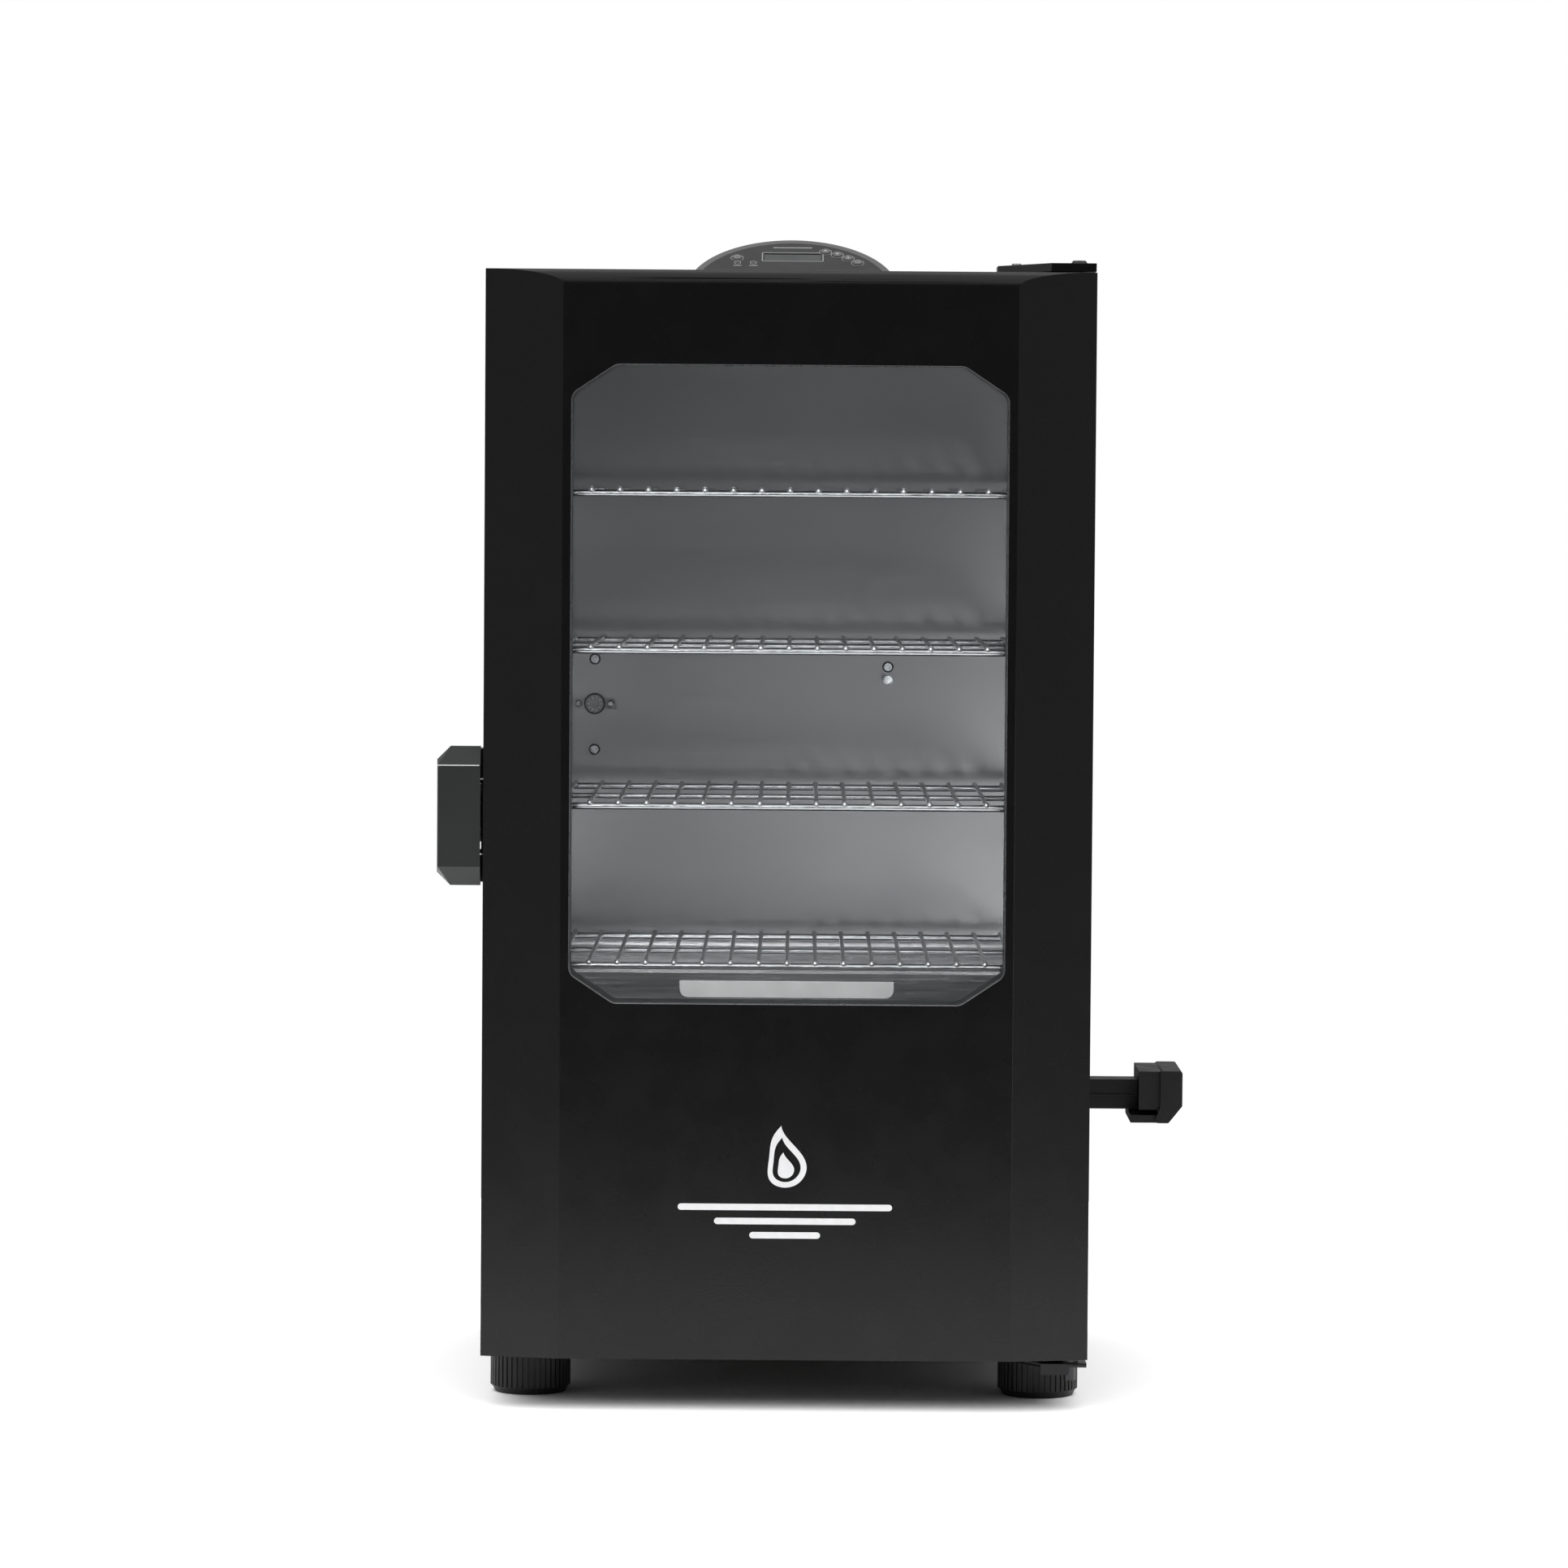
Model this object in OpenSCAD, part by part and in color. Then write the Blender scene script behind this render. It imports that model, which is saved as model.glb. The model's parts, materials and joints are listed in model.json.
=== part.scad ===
// Electric cabinet smoker: an insulated steel cabinet with a glass door hung on the right,
// four racks, a water pan, a side loader for wood chips and a sloped controller on top.
// Millimetres. X to the right, Y to the back, Z up, as seen from in front of the door.
// Pieces are drawn about the cabinet's middle, with Y zero at the front of the casing, and
// place() then moves them so that the origin is below the middle of the whole object.

/* [Casing] */
// Width of the casing
body_w = 420; // [418:1:424]
// Depth of the casing, without the door
body_d = 385; // [383:1:390]
// Height of the casing's underside above the floor
body_z = 33; // [32:0.5:34]
// Height of the casing's top above the floor
body_top = 804; // [803:0.5:805]
// Thickness of the outer steel sheet
sheet = 0.8; // [0.8:0.1:1.2]
// Thickness of the stainless inner sheet
liner_t = 0.6; // [0.6:0.1:0.8]
// Radius of the casing's top edges
corner_r = 6; // [4:0.5:8]

/* [Cavity] */
// Half width of the cooking space
cav_hw = 188; // [187:0.5:188]
// Depth of the cooking space, from the front of the casing
cav_d = 354.5; // [354:0.5:356]
// Height of the cooking space's floor
cav_z0 = 62; // [61:0.5:63]
// Height of the cooking space's ceiling
cav_z1 = 773; // [771:0.5:774]

/* [Door] */
// Width of the door
door_w = 432; // [430:1:434]
// Height of the door
door_h = 772; // [770:0.5:773]
// Height of the door's lower edge above the floor
door_z = 37; // [36.5:0.5:37.5]
// Thickness of the door at its flat middle panel
door_t = 50; // [48:0.5:52]
// Gap between the door's back and the casing, filled by the seal
door_gap = 6; // [5.5:0.5:6]
// Half width of the door's flat middle panel
panel_hw = 160.5; // [160:0.5:162]
// How far the wings fall back at the door's sides
wing_drop = 11; // [10:0.5:12]
// Radius of the roll along the door's top edge
roll_r = 11; // [10:0.5:11]
// Largest angle that the door opens to
door_open = 150; // [120:5:150]

/* [Window] */
// Half width of the window opening
win_hw = 154.5; // [153:0.5:155]
// Height of the window opening's lower edge above the floor
win_z = 290; // [289:0.5:291]
// Height of the window opening
win_h = 452; // [450:1:454]
// Width of the corner cuts
win_cut_x = 31.5; // [28:0.5:34]
// Height of the corner cuts
win_cut_z = 21; // [18:0.5:24]
// Radius that blends the corner cuts
win_r = 8.5; // [6:0.5:10]
// Thickness of each pane
pane_t = 4; // [3:0.5:4]
// How far the panes reach beyond the opening
pane_lap = 5; // [4:0.5:5]

/* [Racks] */
// Width of a rack
rack_w = 363; // [361:1:363]
// Depth of a rack
rack_d = 290; // [280:1:318]
// Heights of the racks' front rails, from the bottom up
rack_z = [311, 426, 538, 651];
// Number of wires in a rack
rack_wires = 17; // [13:1:17]
// Radius of a rack's rails
rail_r = 2.5; // [2.2:0.1:2.5]
// Radius of a rack's wires
wire_r = 1.6; // [1.4:0.1:1.8]

/* [Latch] */
// Height of the paddle
paddle_h = 99; // [96:1:102]
// Height of the paddle's lower edge above the floor
paddle_z = 372; // [370:1:374]
// Distance from the cabinet's middle to the paddle's outer edge
latch_reach = 249; // [248:0.5:250]

/* [Loader] */
// Height of the loader's axis above the floor
loader_z = 214; // [213:0.5:215]
// Distance of the loader's axis behind the front of the casing
loader_y = 96.5; // [96:0.5:97]
// Outer radius of the loader's scoop
scoop_r = 29.5; // [29:0.5:29.5]
// Distance from the cabinet's middle to the grip's outer face
loader_reach = 288.5; // [286:0.5:290]

/* [Controller] */
// Radius of the sloped face
face_r = 80; // [79:0.5:81]
// Tilt of the face from level
face_tilt = 30; // [29:0.5:31]
// Height of the face's highest point above the casing's top
face_rise = 41.5; // [41:0.5:43]
// Distance of the face's highest point behind the front of the casing
face_back = 326.5; // [324:0.5:328]
// Travel of a button
button_travel = 1; // [0.8:0.1:1]

/* [Feet] */
// Radius of a foot
foot_r = 29; // [28:0.5:29]
// Height of a foot
foot_h = 28; // [27:0.5:28]
// Number of grooves around a foot
foot_grooves = 44; // [36:2:52]

/* [Hidden] */
$fn = 48;

// Colours
black_coat = "#1c1c1e";
black_plastic = "#2a2a2b";
steel = "#9a9c9e";
chrome = "#d8dadc";
wool = "#b9a878";
glass = [0.55, 0.6, 0.62, 0.4];

// Clearances
running = 0.05;
free_gap = 0.3;
slide_gap = 0.4;

// The whole object's reach, which sets where the origin lies
door_front = door_gap + door_t;
rear_reach = body_d + 64;
cab_x = (latch_reach - loader_reach) / 2;
cab_y = (door_front - rear_reach) / 2;

// Door outline, seen from above
door_top = door_z + door_h;
door_hw = door_w / 2;
wing_a = atan2(wing_drop, door_hw - panel_hw);

// Hinge line of the door
hinge_x = door_hw - 12;
hinge_y = -25.5;
hinge_pin_r = 4;
bush_h = 22;
bracket_t = 6;
bracket_z = door_top + 1;

// Latch
latch_x = -(door_hw + 13);
latch_y = -40;
latch_pin_r = 2;
ear_t = 2.5;
ear_z0 = paddle_z + 22;
ear_z1 = paddle_z + paddle_h - 27;
paddle_front = -46;
paddle_wall = 2.2;
paddle_bevel = 13.5;
lug_y0 = 10;
lug_y1 = 14.5;

// Rack runs
rack_front = 18.5;
side_rail_x = rack_w / 2 - rail_r;
wire_lift = rail_r + wire_r - 0.8;

// Pans
pan_rim_z = rack_z[0] - 9.5;
pan_rim_h = 5;
ledge_t = 1.2;
ledge_x = 174;

// Chip box and loader
box_x0 = 55;
box_y0 = 38;
box_y1 = 155;
box_z0 = 143;
box_z1 = 251;
collar_bore_r = 30.6;
guide_in_r = 33.6;
guide_out_r = 35;
flange_x = body_w / 2;
grip_x = flange_x + 47;

// Controller face
face_y = face_back - face_r * cos(face_tilt);
face_z = body_top + face_rise - face_r * sin(face_tilt);
panel_r = face_r - 5;
panel_t = 2.3;
board_drop = 7.4;
cap_r = 4;
cap_proud = 1.2;
key_ring_r = 66;
key_angles = [67.7, 58.9, 50.1, 41.3];
power_angle = 130;
display_v = 52.5;
display_w = 43.5;
display_h = 11;

// Pieces on the back wall: x and z of each
wall_screws = [[-151, 522], [-151, 452], [76, 517.5], [-163.5, 487.5], [-138.5, 487.5]];
stat_pos = [-151, 487.5];
probe_pos = [76, 507];
element_x = [85, 155];
element_y = 95;
element_z = 120;
element_r = 4;

// Top and base fittings
vent_pos = [-130, 250];
vent_r = 30;
drain_pos = [0, 300];
drain_r = 8;
foot_x = 184;
foot_ys = [40, 345];
stud_r = 4;
tray_hw = 66;
tray_y0 = 262;
top_screws = [[162, 44], [190, 44], [176, 54]];
base_screws = [[154, 10], [172, 4]];
strike_screws = [[24, paddle_z + 36], [24, paddle_z + 62]];

// Moves a piece from the cabinet's own axes to the object's axes
module place() {
  translate([cab_x, cab_y, 0])
    children();
}

// A plain block between two corners
module block(low, high) {
  translate(low)
    cube(high - low);
}

// Extrudes an outline drawn in X and Z towards the back, from y0
module along_y(y0, length) {
  translate([0, y0 + length, 0])
    rotate([90, 0, 0])
      linear_extrude(length)
        children();
}

// Extrudes an outline drawn in Y and Z towards the right, from x0
module along_x(x0, length) {
  translate([x0, 0, 0])
    rotate([90, 0, 90])
      linear_extrude(length)
        children();
}

// A rod or hole along Y from y0, at x and z
module rod_y(x, z, y0, length, r) {
  translate([x, y0 + length, z])
    rotate([90, 0, 0])
      cylinder(r = r, h = length);
}

// A rod or hole along X from x0, at y and z
module rod_x(y, z, x0, length, r) {
  translate([x0, y, z])
    rotate([0, 90, 0])
      cylinder(r = r, h = length);
}

// Upright outline with square feet and rounded top corners
module arch_outline(half_w, z0, z1, r) {
  translate([-half_w, z0])
    square([2 * half_w, z1 - r - z0]);
  translate([r - half_w, z0])
    square([2 * (half_w - r), z1 - z0]);
  for (side = [-1, 1])
    translate([side * (half_w - r), z1 - r])
      circle(r);
}

// An open-topped tray with its rim turned out
module tray_form(half_w, y0, y1, z0, z1, wall, rim) {
  difference() {
    union() {
      block([-half_w, y0, z0], [half_w, y1, z1]);
      block([-half_w - rim, y0 - rim, z1 - wall], [half_w + rim, y1 + rim, z1]);
    }
    block([wall - half_w, y0 + wall, z0 + wall], [half_w - wall, y1 - wall, z1 + 1]);
  }
}

// A domed screw with a cross recess, its head on the plane z = 0
module screw(head_r, head_h, shank_r, shank_l) {
  difference() {
    union() {
      cylinder(r1 = head_r, r2 = head_r * 0.7, h = head_h);
      translate([0, 0, -shank_l])
        cylinder(r = shank_r, h = shank_l);
    }
    for (turn = [0, 90])
      rotate(turn)
        translate([-head_r / 2, -head_r / 10, head_h / 2])
          cube([head_r, head_r / 5, head_h]);
  }
}

function unit(v) = v / norm(v);
function turned(v, a) = [v.x * cos(a) - v.y * sin(a), v.x * sin(a) + v.y * cos(a)];

// Points of a convex outline, listed anticlockwise, with each corner blended by an arc
function blended(pts, r, steps = 4) = [
  for (i = [0:len(pts) - 1])
    let (
      p = pts[i],
      before = unit(pts[(i + len(pts) - 1) % len(pts)] - p),
      after = unit(pts[(i + 1) % len(pts)] - p),
      half = acos(before * after) / 2,
      middle = p + unit(before + after) * r / sin(half),
      start = p + before * r / tan(half) - middle
    )
    for (k = [0:steps])
      middle + turned(start, (180 - 2 * half) * k / steps)
];

// Window outline in X and Z, moved outwards by grow
function window_points(grow) =
  let (
    cut_a = atan2(win_cut_z, win_cut_x),
    cx = win_cut_x + grow * (1 - tan(cut_a / 2)),
    cz = win_cut_z + grow * (1 - tan(45 - cut_a / 2)),
    hw = win_hw + grow,
    z0 = win_z - grow,
    z1 = win_z + win_h + grow
  )
  blended([
    [cx - hw, z0], [hw - cx, z0], [hw, z0 + cz], [hw, z1 - cz],
    [hw - cx, z1], [cx - hw, z1], [-hw, z1 - cz], [-hw, z0 + cz]
  ], win_r + grow);

// A slab with the window's outline
module window_slab(grow, y0, length) {
  along_y(y0, length)
    polygon(window_points(grow));
}

// Door outline seen from above, moved inwards by inset
function door_plan(inset, back) =
  let (
    side = door_hw - inset,
    side_y = wing_drop - door_front + inset * tan(45 - wing_a / 2),
    fold = panel_hw - inset * tan(wing_a / 2)
  )
  [
    [-side, back], [-side, side_y], [-fold, inset - door_front],
    [fold, inset - door_front], [side, side_y], [side, back]
  ];

// The door's solid form: its plan, with the top edge rolled back over the middle panel
module door_form(inset, back) {
  r = roll_r - inset;
  front = inset - door_front;
  intersection() {
    translate([0, 0, door_z + inset])
      linear_extrude(door_h - 2 * inset)
        polygon(door_plan(inset, back));
    along_x(-door_hw, door_w)
      union() {
        translate([front, door_z])
          square([back - front, door_h - roll_r]);
        translate([front + r, door_z])
          square([back - front - r, door_h - inset]);
        translate([front + r, door_top - roll_r])
          circle(r);
      }
  }
}

// ---- Casing ----

module outer_shell() {
  place()
    color(black_coat)
      difference() {
        along_y(sheet, body_d - sheet)
          difference() {
            arch_outline(body_w / 2, body_z, body_top, corner_r);
            arch_outline(body_w / 2 - sheet, body_z - 1, body_top - sheet, corner_r - sheet);
          }
        rod_x(loader_y, loader_z, cav_hw, 30, guide_out_r + 0.2);
        translate([vent_pos.x, vent_pos.y, cav_z1])
          cylinder(r = vent_r + 0.2, h = 40);
      }
}

module front_frame() {
  place()
    color(black_coat)
      difference() {
        along_y(0, sheet)
          arch_outline(body_w / 2, body_z, body_top, corner_r);
        block([-cav_hw, -1, cav_z0], [cav_hw, sheet + 1, cav_z1]);
      }
}

module back_panel() {
  place()
    color(black_coat)
      difference() {
        along_y(body_d - sheet, sheet)
          arch_outline(body_w / 2 - sheet, body_z, body_top - sheet, corner_r - sheet);
        rod_y(0, 110, body_d - 5, 10, 12);
      }
}

module base_pan() {
  half_w = body_w / 2 - sheet;
  flange = 18;
  place()
    color(black_coat)
      difference() {
        block([-half_w, sheet, body_z], [half_w, body_d - sheet, body_z + flange]);
        block([sheet - half_w, 2 * sheet, body_z + sheet],
              [half_w - sheet, body_d - 2 * sheet, body_z + flange + 1]);
        for (x = [-foot_x, foot_x], y = foot_ys)
          translate([x, y, body_z - 1])
            cylinder(r = stud_r + free_gap, h = sheet + 2);
        translate([drain_pos.x, drain_pos.y, body_z - 1])
          cylinder(r = drain_r + free_gap, h = sheet + 2);
      }
}

module inner_liner() {
  place()
    color(steel)
      difference() {
        block([-cav_hw - liner_t, sheet, cav_z0 - liner_t],
              [cav_hw + liner_t, cav_d + liner_t, cav_z1 + liner_t]);
        block([-cav_hw, 0, cav_z0], [cav_hw, cav_d, cav_z1]);
        rod_x(loader_y, loader_z, cav_hw - 5, 20, guide_out_r + 0.2);
        translate([vent_pos.x, vent_pos.y, cav_z1 - 5])
          cylinder(r = vent_r + 0.2, h = 20);
        translate([drain_pos.x, drain_pos.y, cav_z0 - 5])
          cylinder(r = drain_r + free_gap, h = 10);
        for (x = element_x)
          rod_y(x, element_z, cav_d - 5, 20, element_r + free_gap);
        for (p = wall_screws)
          rod_y(p.x, p.y, cav_d - 5, 20, 2.1);
        rod_y(stat_pos.x, stat_pos.y, cav_d - 5, 20, 8);
        rod_y(probe_pos.x, probe_pos.y, cav_d - 5, 20, 2.6);
      }
}

module insulation() {
  gap = liner_t + 0.2;
  place()
    color(wool)
      difference() {
        along_y(2, body_d - 2 * sheet - 2)
          arch_outline(body_w / 2 - sheet - 0.3, body_z + 20, body_top - sheet - 0.3, corner_r);
        block([-cav_hw - gap, 0, body_z],
              [cav_hw + gap, cav_d + gap, cav_z1 + gap]);
        rod_x(loader_y, loader_z, cav_hw - 5, 40, guide_out_r + 1);
        translate([vent_pos.x, vent_pos.y, cav_z1 - 5])
          cylinder(r = vent_r + 1, h = 60);
        for (p = wall_screws)
          rod_y(p.x, p.y, cav_d - 5, 15, 2.6);
        rod_y(stat_pos.x, stat_pos.y, cav_d - 5, 50, 10);
        rod_y(probe_pos.x, probe_pos.y, cav_d - 5, 24, 4);
        block([60, cav_d - 5, 60], [180, body_d, 160]);
        block([-30, cav_d - 5, 60], [61, body_d, 160]);
      }
}

module rack_supports() {
  strip_w = 14;
  place()
    color(steel)
      for (side = [0, 1])
        mirror([side, 0, 0])
          union() {
            for (y = [70, 285])
              block([cav_hw - ledge_t, y, pan_rim_z - 12],
                    [cav_hw, y + strip_w, rack_z[3] + 20]);
            for (z = [for (h = rack_z) h - rail_r - free_gap, pan_rim_z - free_gap])
              block([ledge_x, 16, z - ledge_t], [cav_hw, cav_d - 16, z]);
          }
}

// ---- Heat, smoke and grease ----

module heating_element() {
  middle = (element_x[0] + element_x[1]) / 2;
  bend_r = (element_x[1] - element_x[0]) / 2;
  place()
    color("#3a3634") {
      for (x = element_x)
        rod_y(x, element_z, element_y, body_d - 8 - element_y, element_r);
      translate([middle, element_y, element_z])
        rotate(180)
          rotate_extrude(angle = 180)
            translate([bend_r, 0])
              circle(element_r);
      block([element_x[0] - 14, cav_d + liner_t, element_z - 16],
            [element_x[1] + 14, cav_d + liner_t + 2, element_z + 16]);
    }
}

module chip_housing() {
  right = cav_hw;
  place()
    color(steel)
      difference() {
        block([box_x0, box_y0, box_z0], [right, box_y1, box_z1]);
        block([box_x0 + sheet, box_y0 - 1, box_z0 + sheet],
              [right + 1, box_y1 - sheet, box_z1 - sheet]);
        block([box_x0 + 15, box_y0 + 12, box_z0 - 1],
              [right - 15, box_y1 - 15, box_z0 + sheet + 1]);
      }
}

module chip_tray() {
  place()
    color("#5b5a58")
      translate([122, 0, 0])
        union() {
          tray_form(60, box_y0 + 8, box_y1 - 10, box_z0 + sheet + free_gap, box_z0 + 27, sheet, 0);
          block([-22, box_y0 - 6, box_z0 + 20], [22, box_y0 + 8.5, box_z0 + 22]);
        }
}

module loader_guide() {
  place()
    color(steel)
      difference() {
        union() {
          rod_x(loader_y, loader_z, cav_hw - 6, flange_x - cav_hw + 6, guide_out_r);
          rod_x(loader_y, loader_z, flange_x, 1.5, guide_out_r + 7);
        }
        rod_x(loader_y, loader_z, cav_hw - 10, 50, guide_in_r);
      }
}

module loader_collar() {
  place()
    color(black_plastic)
      difference() {
        union() {
          rod_x(loader_y, loader_z, flange_x + 1.8, 3, guide_out_r + 6);
          rod_x(loader_y, loader_z, flange_x - 12, 15, guide_in_r - slide_gap);
        }
        rod_x(loader_y, loader_z, flange_x - 20, 40, collar_bore_r);
      }
}

module loader_scoop() {
  plug_x = flange_x - 14;
  stem_x = flange_x + 5.1;
  stem_h = 21.5;
  stem_w = 24;
  place()
    color(black_plastic)
      union() {
        difference() {
          rod_x(loader_y, loader_z, 70, plug_x - 70, scoop_r);
          rod_x(loader_y, loader_z, 72, plug_x - 72, scoop_r - 1.8);
          block([71, loader_y - 40, loader_z + 8], [plug_x, loader_y + 40, loader_z + 40]);
        }
        rod_x(loader_y, loader_z, plug_x, stem_x - plug_x, collar_bore_r - running);
        rod_x(loader_y, loader_z, stem_x, 2, collar_bore_r + 4);
        block([stem_x, loader_y - stem_w / 2, loader_z - stem_h / 2],
              [grip_x, loader_y + stem_w / 2, loader_z + stem_h / 2]);
        block([stem_x, loader_y - stem_w / 2 - 1.2, loader_z - 1.5],
              [grip_x, loader_y + stem_w / 2 + 1.2, loader_z - 0.1]);
      }
}

module loader_handle() {
  plate_x = grip_x + 15.5;
  plate = blended([
    [plate_x - 5, loader_z - 18.5], [loader_reach - 10, loader_z - 18.5],
    [loader_reach, loader_z - 6], [loader_reach, loader_z + 19.5], [plate_x, loader_z + 19.5],
    [plate_x, loader_z - 9]
  ], 2);
  place()
    color(black_plastic)
      union() {
        along_y(loader_y - 38, 76)
          polygon(plate);
        block([grip_x, loader_y - 34, loader_z - 9], [plate_x + 1, loader_y + 34, loader_z + 18.8]);
        block([grip_x - 6, loader_y - 35, loader_z - 18.5],
              [plate_x + 2, loader_y + 35, loader_z - 13]);
        block([grip_x - 6, loader_y - 8, loader_z - 18.5],
              [plate_x, loader_y + 8, loader_z - 10.95]);
      }
}

module water_pan() {
  half_w = 168;
  rim = 11.5;
  y0 = 26;
  y1 = 322;
  z0 = pan_rim_z - 42;
  grip = blended([
    [-78, pan_rim_z - 13.5], [78, pan_rim_z - 13.5], [78, pan_rim_z + 2], [-78, pan_rim_z + 2]
  ], 6);
  place()
    color(chrome)
      difference() {
        union() {
          block([-half_w, y0, z0], [half_w, y1, pan_rim_z + 1]);
          block([-half_w - rim, y0 - rim, pan_rim_z], [half_w + rim, y1 + rim, pan_rim_z + pan_rim_h]);
          along_y(y0 - rim, 1.2)
            polygon(grip);
        }
        block([1.2 - half_w, y0 + 1.2, z0 + 1.2], [half_w - 1.2, y1 - 1.2, pan_rim_z + 9]);
        block([3 - half_w - rim, y0 - rim + 1.2, pan_rim_z + 1.2],
              [half_w + rim - 3, y1 + rim - 1.2, pan_rim_z + 9]);
      }
}

module drip_pan() {
  place()
    color(steel)
      difference() {
        tray_form(160, 34, 328, cav_z0 + free_gap, cav_z0 + 16, 1.2, 8);
        translate([drain_pos.x, drain_pos.y, cav_z0])
          cylinder(r = drain_r + 2, h = 5);
      }
}

module drain_tube() {
  place()
    color(steel)
      translate([drain_pos.x, drain_pos.y, 0])
        difference() {
          translate([0, 0, body_z - 3])
            cylinder(r = drain_r, h = cav_z0 - body_z + 3);
          cylinder(r = drain_r - 1, h = cav_z0 + 1);
        }
}

module grease_tray() {
  z0 = 6;
  z1 = 24;
  place()
    color(black_coat)
      union() {
        tray_form(tray_hw - 6, tray_y0, body_d + 40, z0, z1, 1.2, 5);
        block([-30, body_d + 44, z1 - 1.2], [30, rear_reach, z1]);
        block([-30, rear_reach - 1.2, z1 - 14], [30, rear_reach, z1]);
      }
}

module grease_rails() {
  shelf_z = 21.3;
  place()
    color(black_coat)
      for (side = [0, 1])
        mirror([side, 0, 0])
          union() {
            block([tray_hw, tray_y0 - 8, shelf_z], [tray_hw + 1.2, body_d - 4, body_z]);
            block([tray_hw - 4, tray_y0 - 8, shelf_z], [tray_hw + 1, body_d - 4, shelf_z + 1.2]);
            block([tray_hw, tray_y0 - 8, body_z - 1.2], [tray_hw + 12, body_d - 4, body_z]);
          }
}

// ---- Wall and rear fittings ----

module limit_thermostat() {
  place()
    color(steel)
      difference() {
        union() {
          rod_y(stat_pos.x, stat_pos.y, cav_d - 3, 3, 8.3);
          rod_y(stat_pos.x, stat_pos.y, cav_d - 1, 18, 7.6);
          block([stat_pos.x - 17, cav_d - 1, stat_pos.y - 4], [stat_pos.x + 17, cav_d, stat_pos.y + 4]);
        }
        for (i = [0:7])
          rod_y(stat_pos.x + 5.4 * cos(i * 45), stat_pos.y + 5.4 * sin(i * 45), cav_d - 4, 2.5, 1);
        for (side = [-1, 1])
          rod_y(stat_pos.x + side * 12.5, stat_pos.y, cav_d - 3, 6, 2.1);
      }
}

module temp_probe() {
  place()
    color(chrome)
      union() {
        rod_y(probe_pos.x, probe_pos.y, cav_d - 14, 30, 2.2);
        rod_y(probe_pos.x, probe_pos.y, cav_d - 2, 2, 3.6);
      }
}

module cabinet_screws() {
  small_head = 2.6;
  place()
    color(chrome) {
      for (i = [0:len(wall_screws) - 1])
        translate([wall_screws[i].x, i > 2 ? cav_d - 1 : cav_d, wall_screws[i].y])
          rotate([90, 0, 0])
            screw(i > 2 ? small_head : 4.4, 2.2, 1.8, 7);
      for (p = top_screws)
        translate([p.x, p.y, bracket_z + bracket_t])
          screw(4.4, 2.2, 1.8, 0.5);
      for (p = base_screws)
        translate([p.x, p.y, body_z - 3])
          rotate([180, 0, 0])
            screw(4.4, 2.2, 1.8, 0.5);
      for (p = strike_screws)
        translate([-body_w / 2 - 2, p.x, p.y])
          rotate([0, -90, 0])
            screw(3.4, 1.8, 1.8, 0.5);
    }
}

module rear_handle() {
  handle_z = 640;
  half = 70;
  bar_y = body_d + 34;
  place()
    color(black_plastic)
      union() {
        rod_x(bar_y, handle_z, -half, 2 * half, 8);
        for (x = [-half, half]) {
          translate([x, bar_y, handle_z])
            sphere(8);
          rod_y(x, handle_z, body_d + 4, 30, 8);
          rod_y(x, handle_z, body_d, 4, 15);
        }
      }
}

module wiring_cover() {
  place()
    color(black_coat)
      difference() {
        block([-55, body_d, 60], [175, body_d + 16, 165]);
        block([-55 + sheet, body_d - 1, 60 + sheet], [175 - sheet, body_d + 16 - sheet, 165 - sheet]);
        rod_y(-20, 90, body_d, 30, 8 + free_gap);
      }
}

module cord_gland() {
  gland_y = body_d + 16;
  place()
    color(black_plastic)
      translate([-20, gland_y, 90])
        rotate([-90, 0, 0])
          difference() {
            union() {
              translate([0, 0, -7])
                cylinder(r = 8, h = 7);
              cylinder(r = 12, h = 6, $fn = 6);
              translate([0, 0, 6])
                cylinder(r1 = 8, r2 = 5.5, h = 12);
            }
            translate([0, 0, -8])
              cylinder(r = 3.8, h = 30);
          }
}

module damper_base() {
  place()
    color(black_coat)
      translate([vent_pos.x, vent_pos.y, 0])
        union() {
          difference() {
            translate([0, 0, cav_z1])
              cylinder(r = vent_r, h = body_top - cav_z1);
            translate([0, 0, cav_z1 - 1])
              cylinder(r = vent_r - 1.2, h = body_top - cav_z1 + 1);
          }
          difference() {
            translate([0, 0, body_top])
              cylinder(r = vent_r + 10, h = 2);
            vent_ports(body_top);
          }
          translate([0, 0, body_top + 2])
            cylinder(r = 5, h = 2.6);
          translate([0, 0, body_top + 4.6])
            cylinder(r = 8, h = 1.6);
        }
}

// The two quarter-round air ports of the damper, as cutting shapes
module vent_ports(z) {
  for (turn = [0, 180])
    rotate(turn)
      translate([0, 0, z - 1])
        intersection() {
          difference() {
            cylinder(r = vent_r - 4, h = 5);
            cylinder(r = 9, h = 5);
          }
          translate([1, 1, 0])
            cube([40, 40, 5]);
        }
}

module damper_disc() {
  place()
    color(black_coat)
      translate([vent_pos.x, vent_pos.y, 0])
        difference() {
          union() {
            translate([0, 0, body_top + 2 + free_gap])
              cylinder(r = vent_r + 4, h = 2);
            translate([0, 0, body_top + 2 + free_gap])
              rotate(-45)
                translate([14, -2, 0])
                  cube([vent_r - 12, 4, 9]);
          }
          vent_ports(body_top + 2 + free_gap);
          translate([0, 0, body_top])
            cylinder(r = 5 + running, h = 6);
        }
}

// ---- Controller ----

// Moves children onto the sloped face: Z is out of the face, Y is up the slope
module on_face() {
  translate([0, face_y, face_z])
    rotate([face_tilt, 0, 0])
      children();
}

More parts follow.
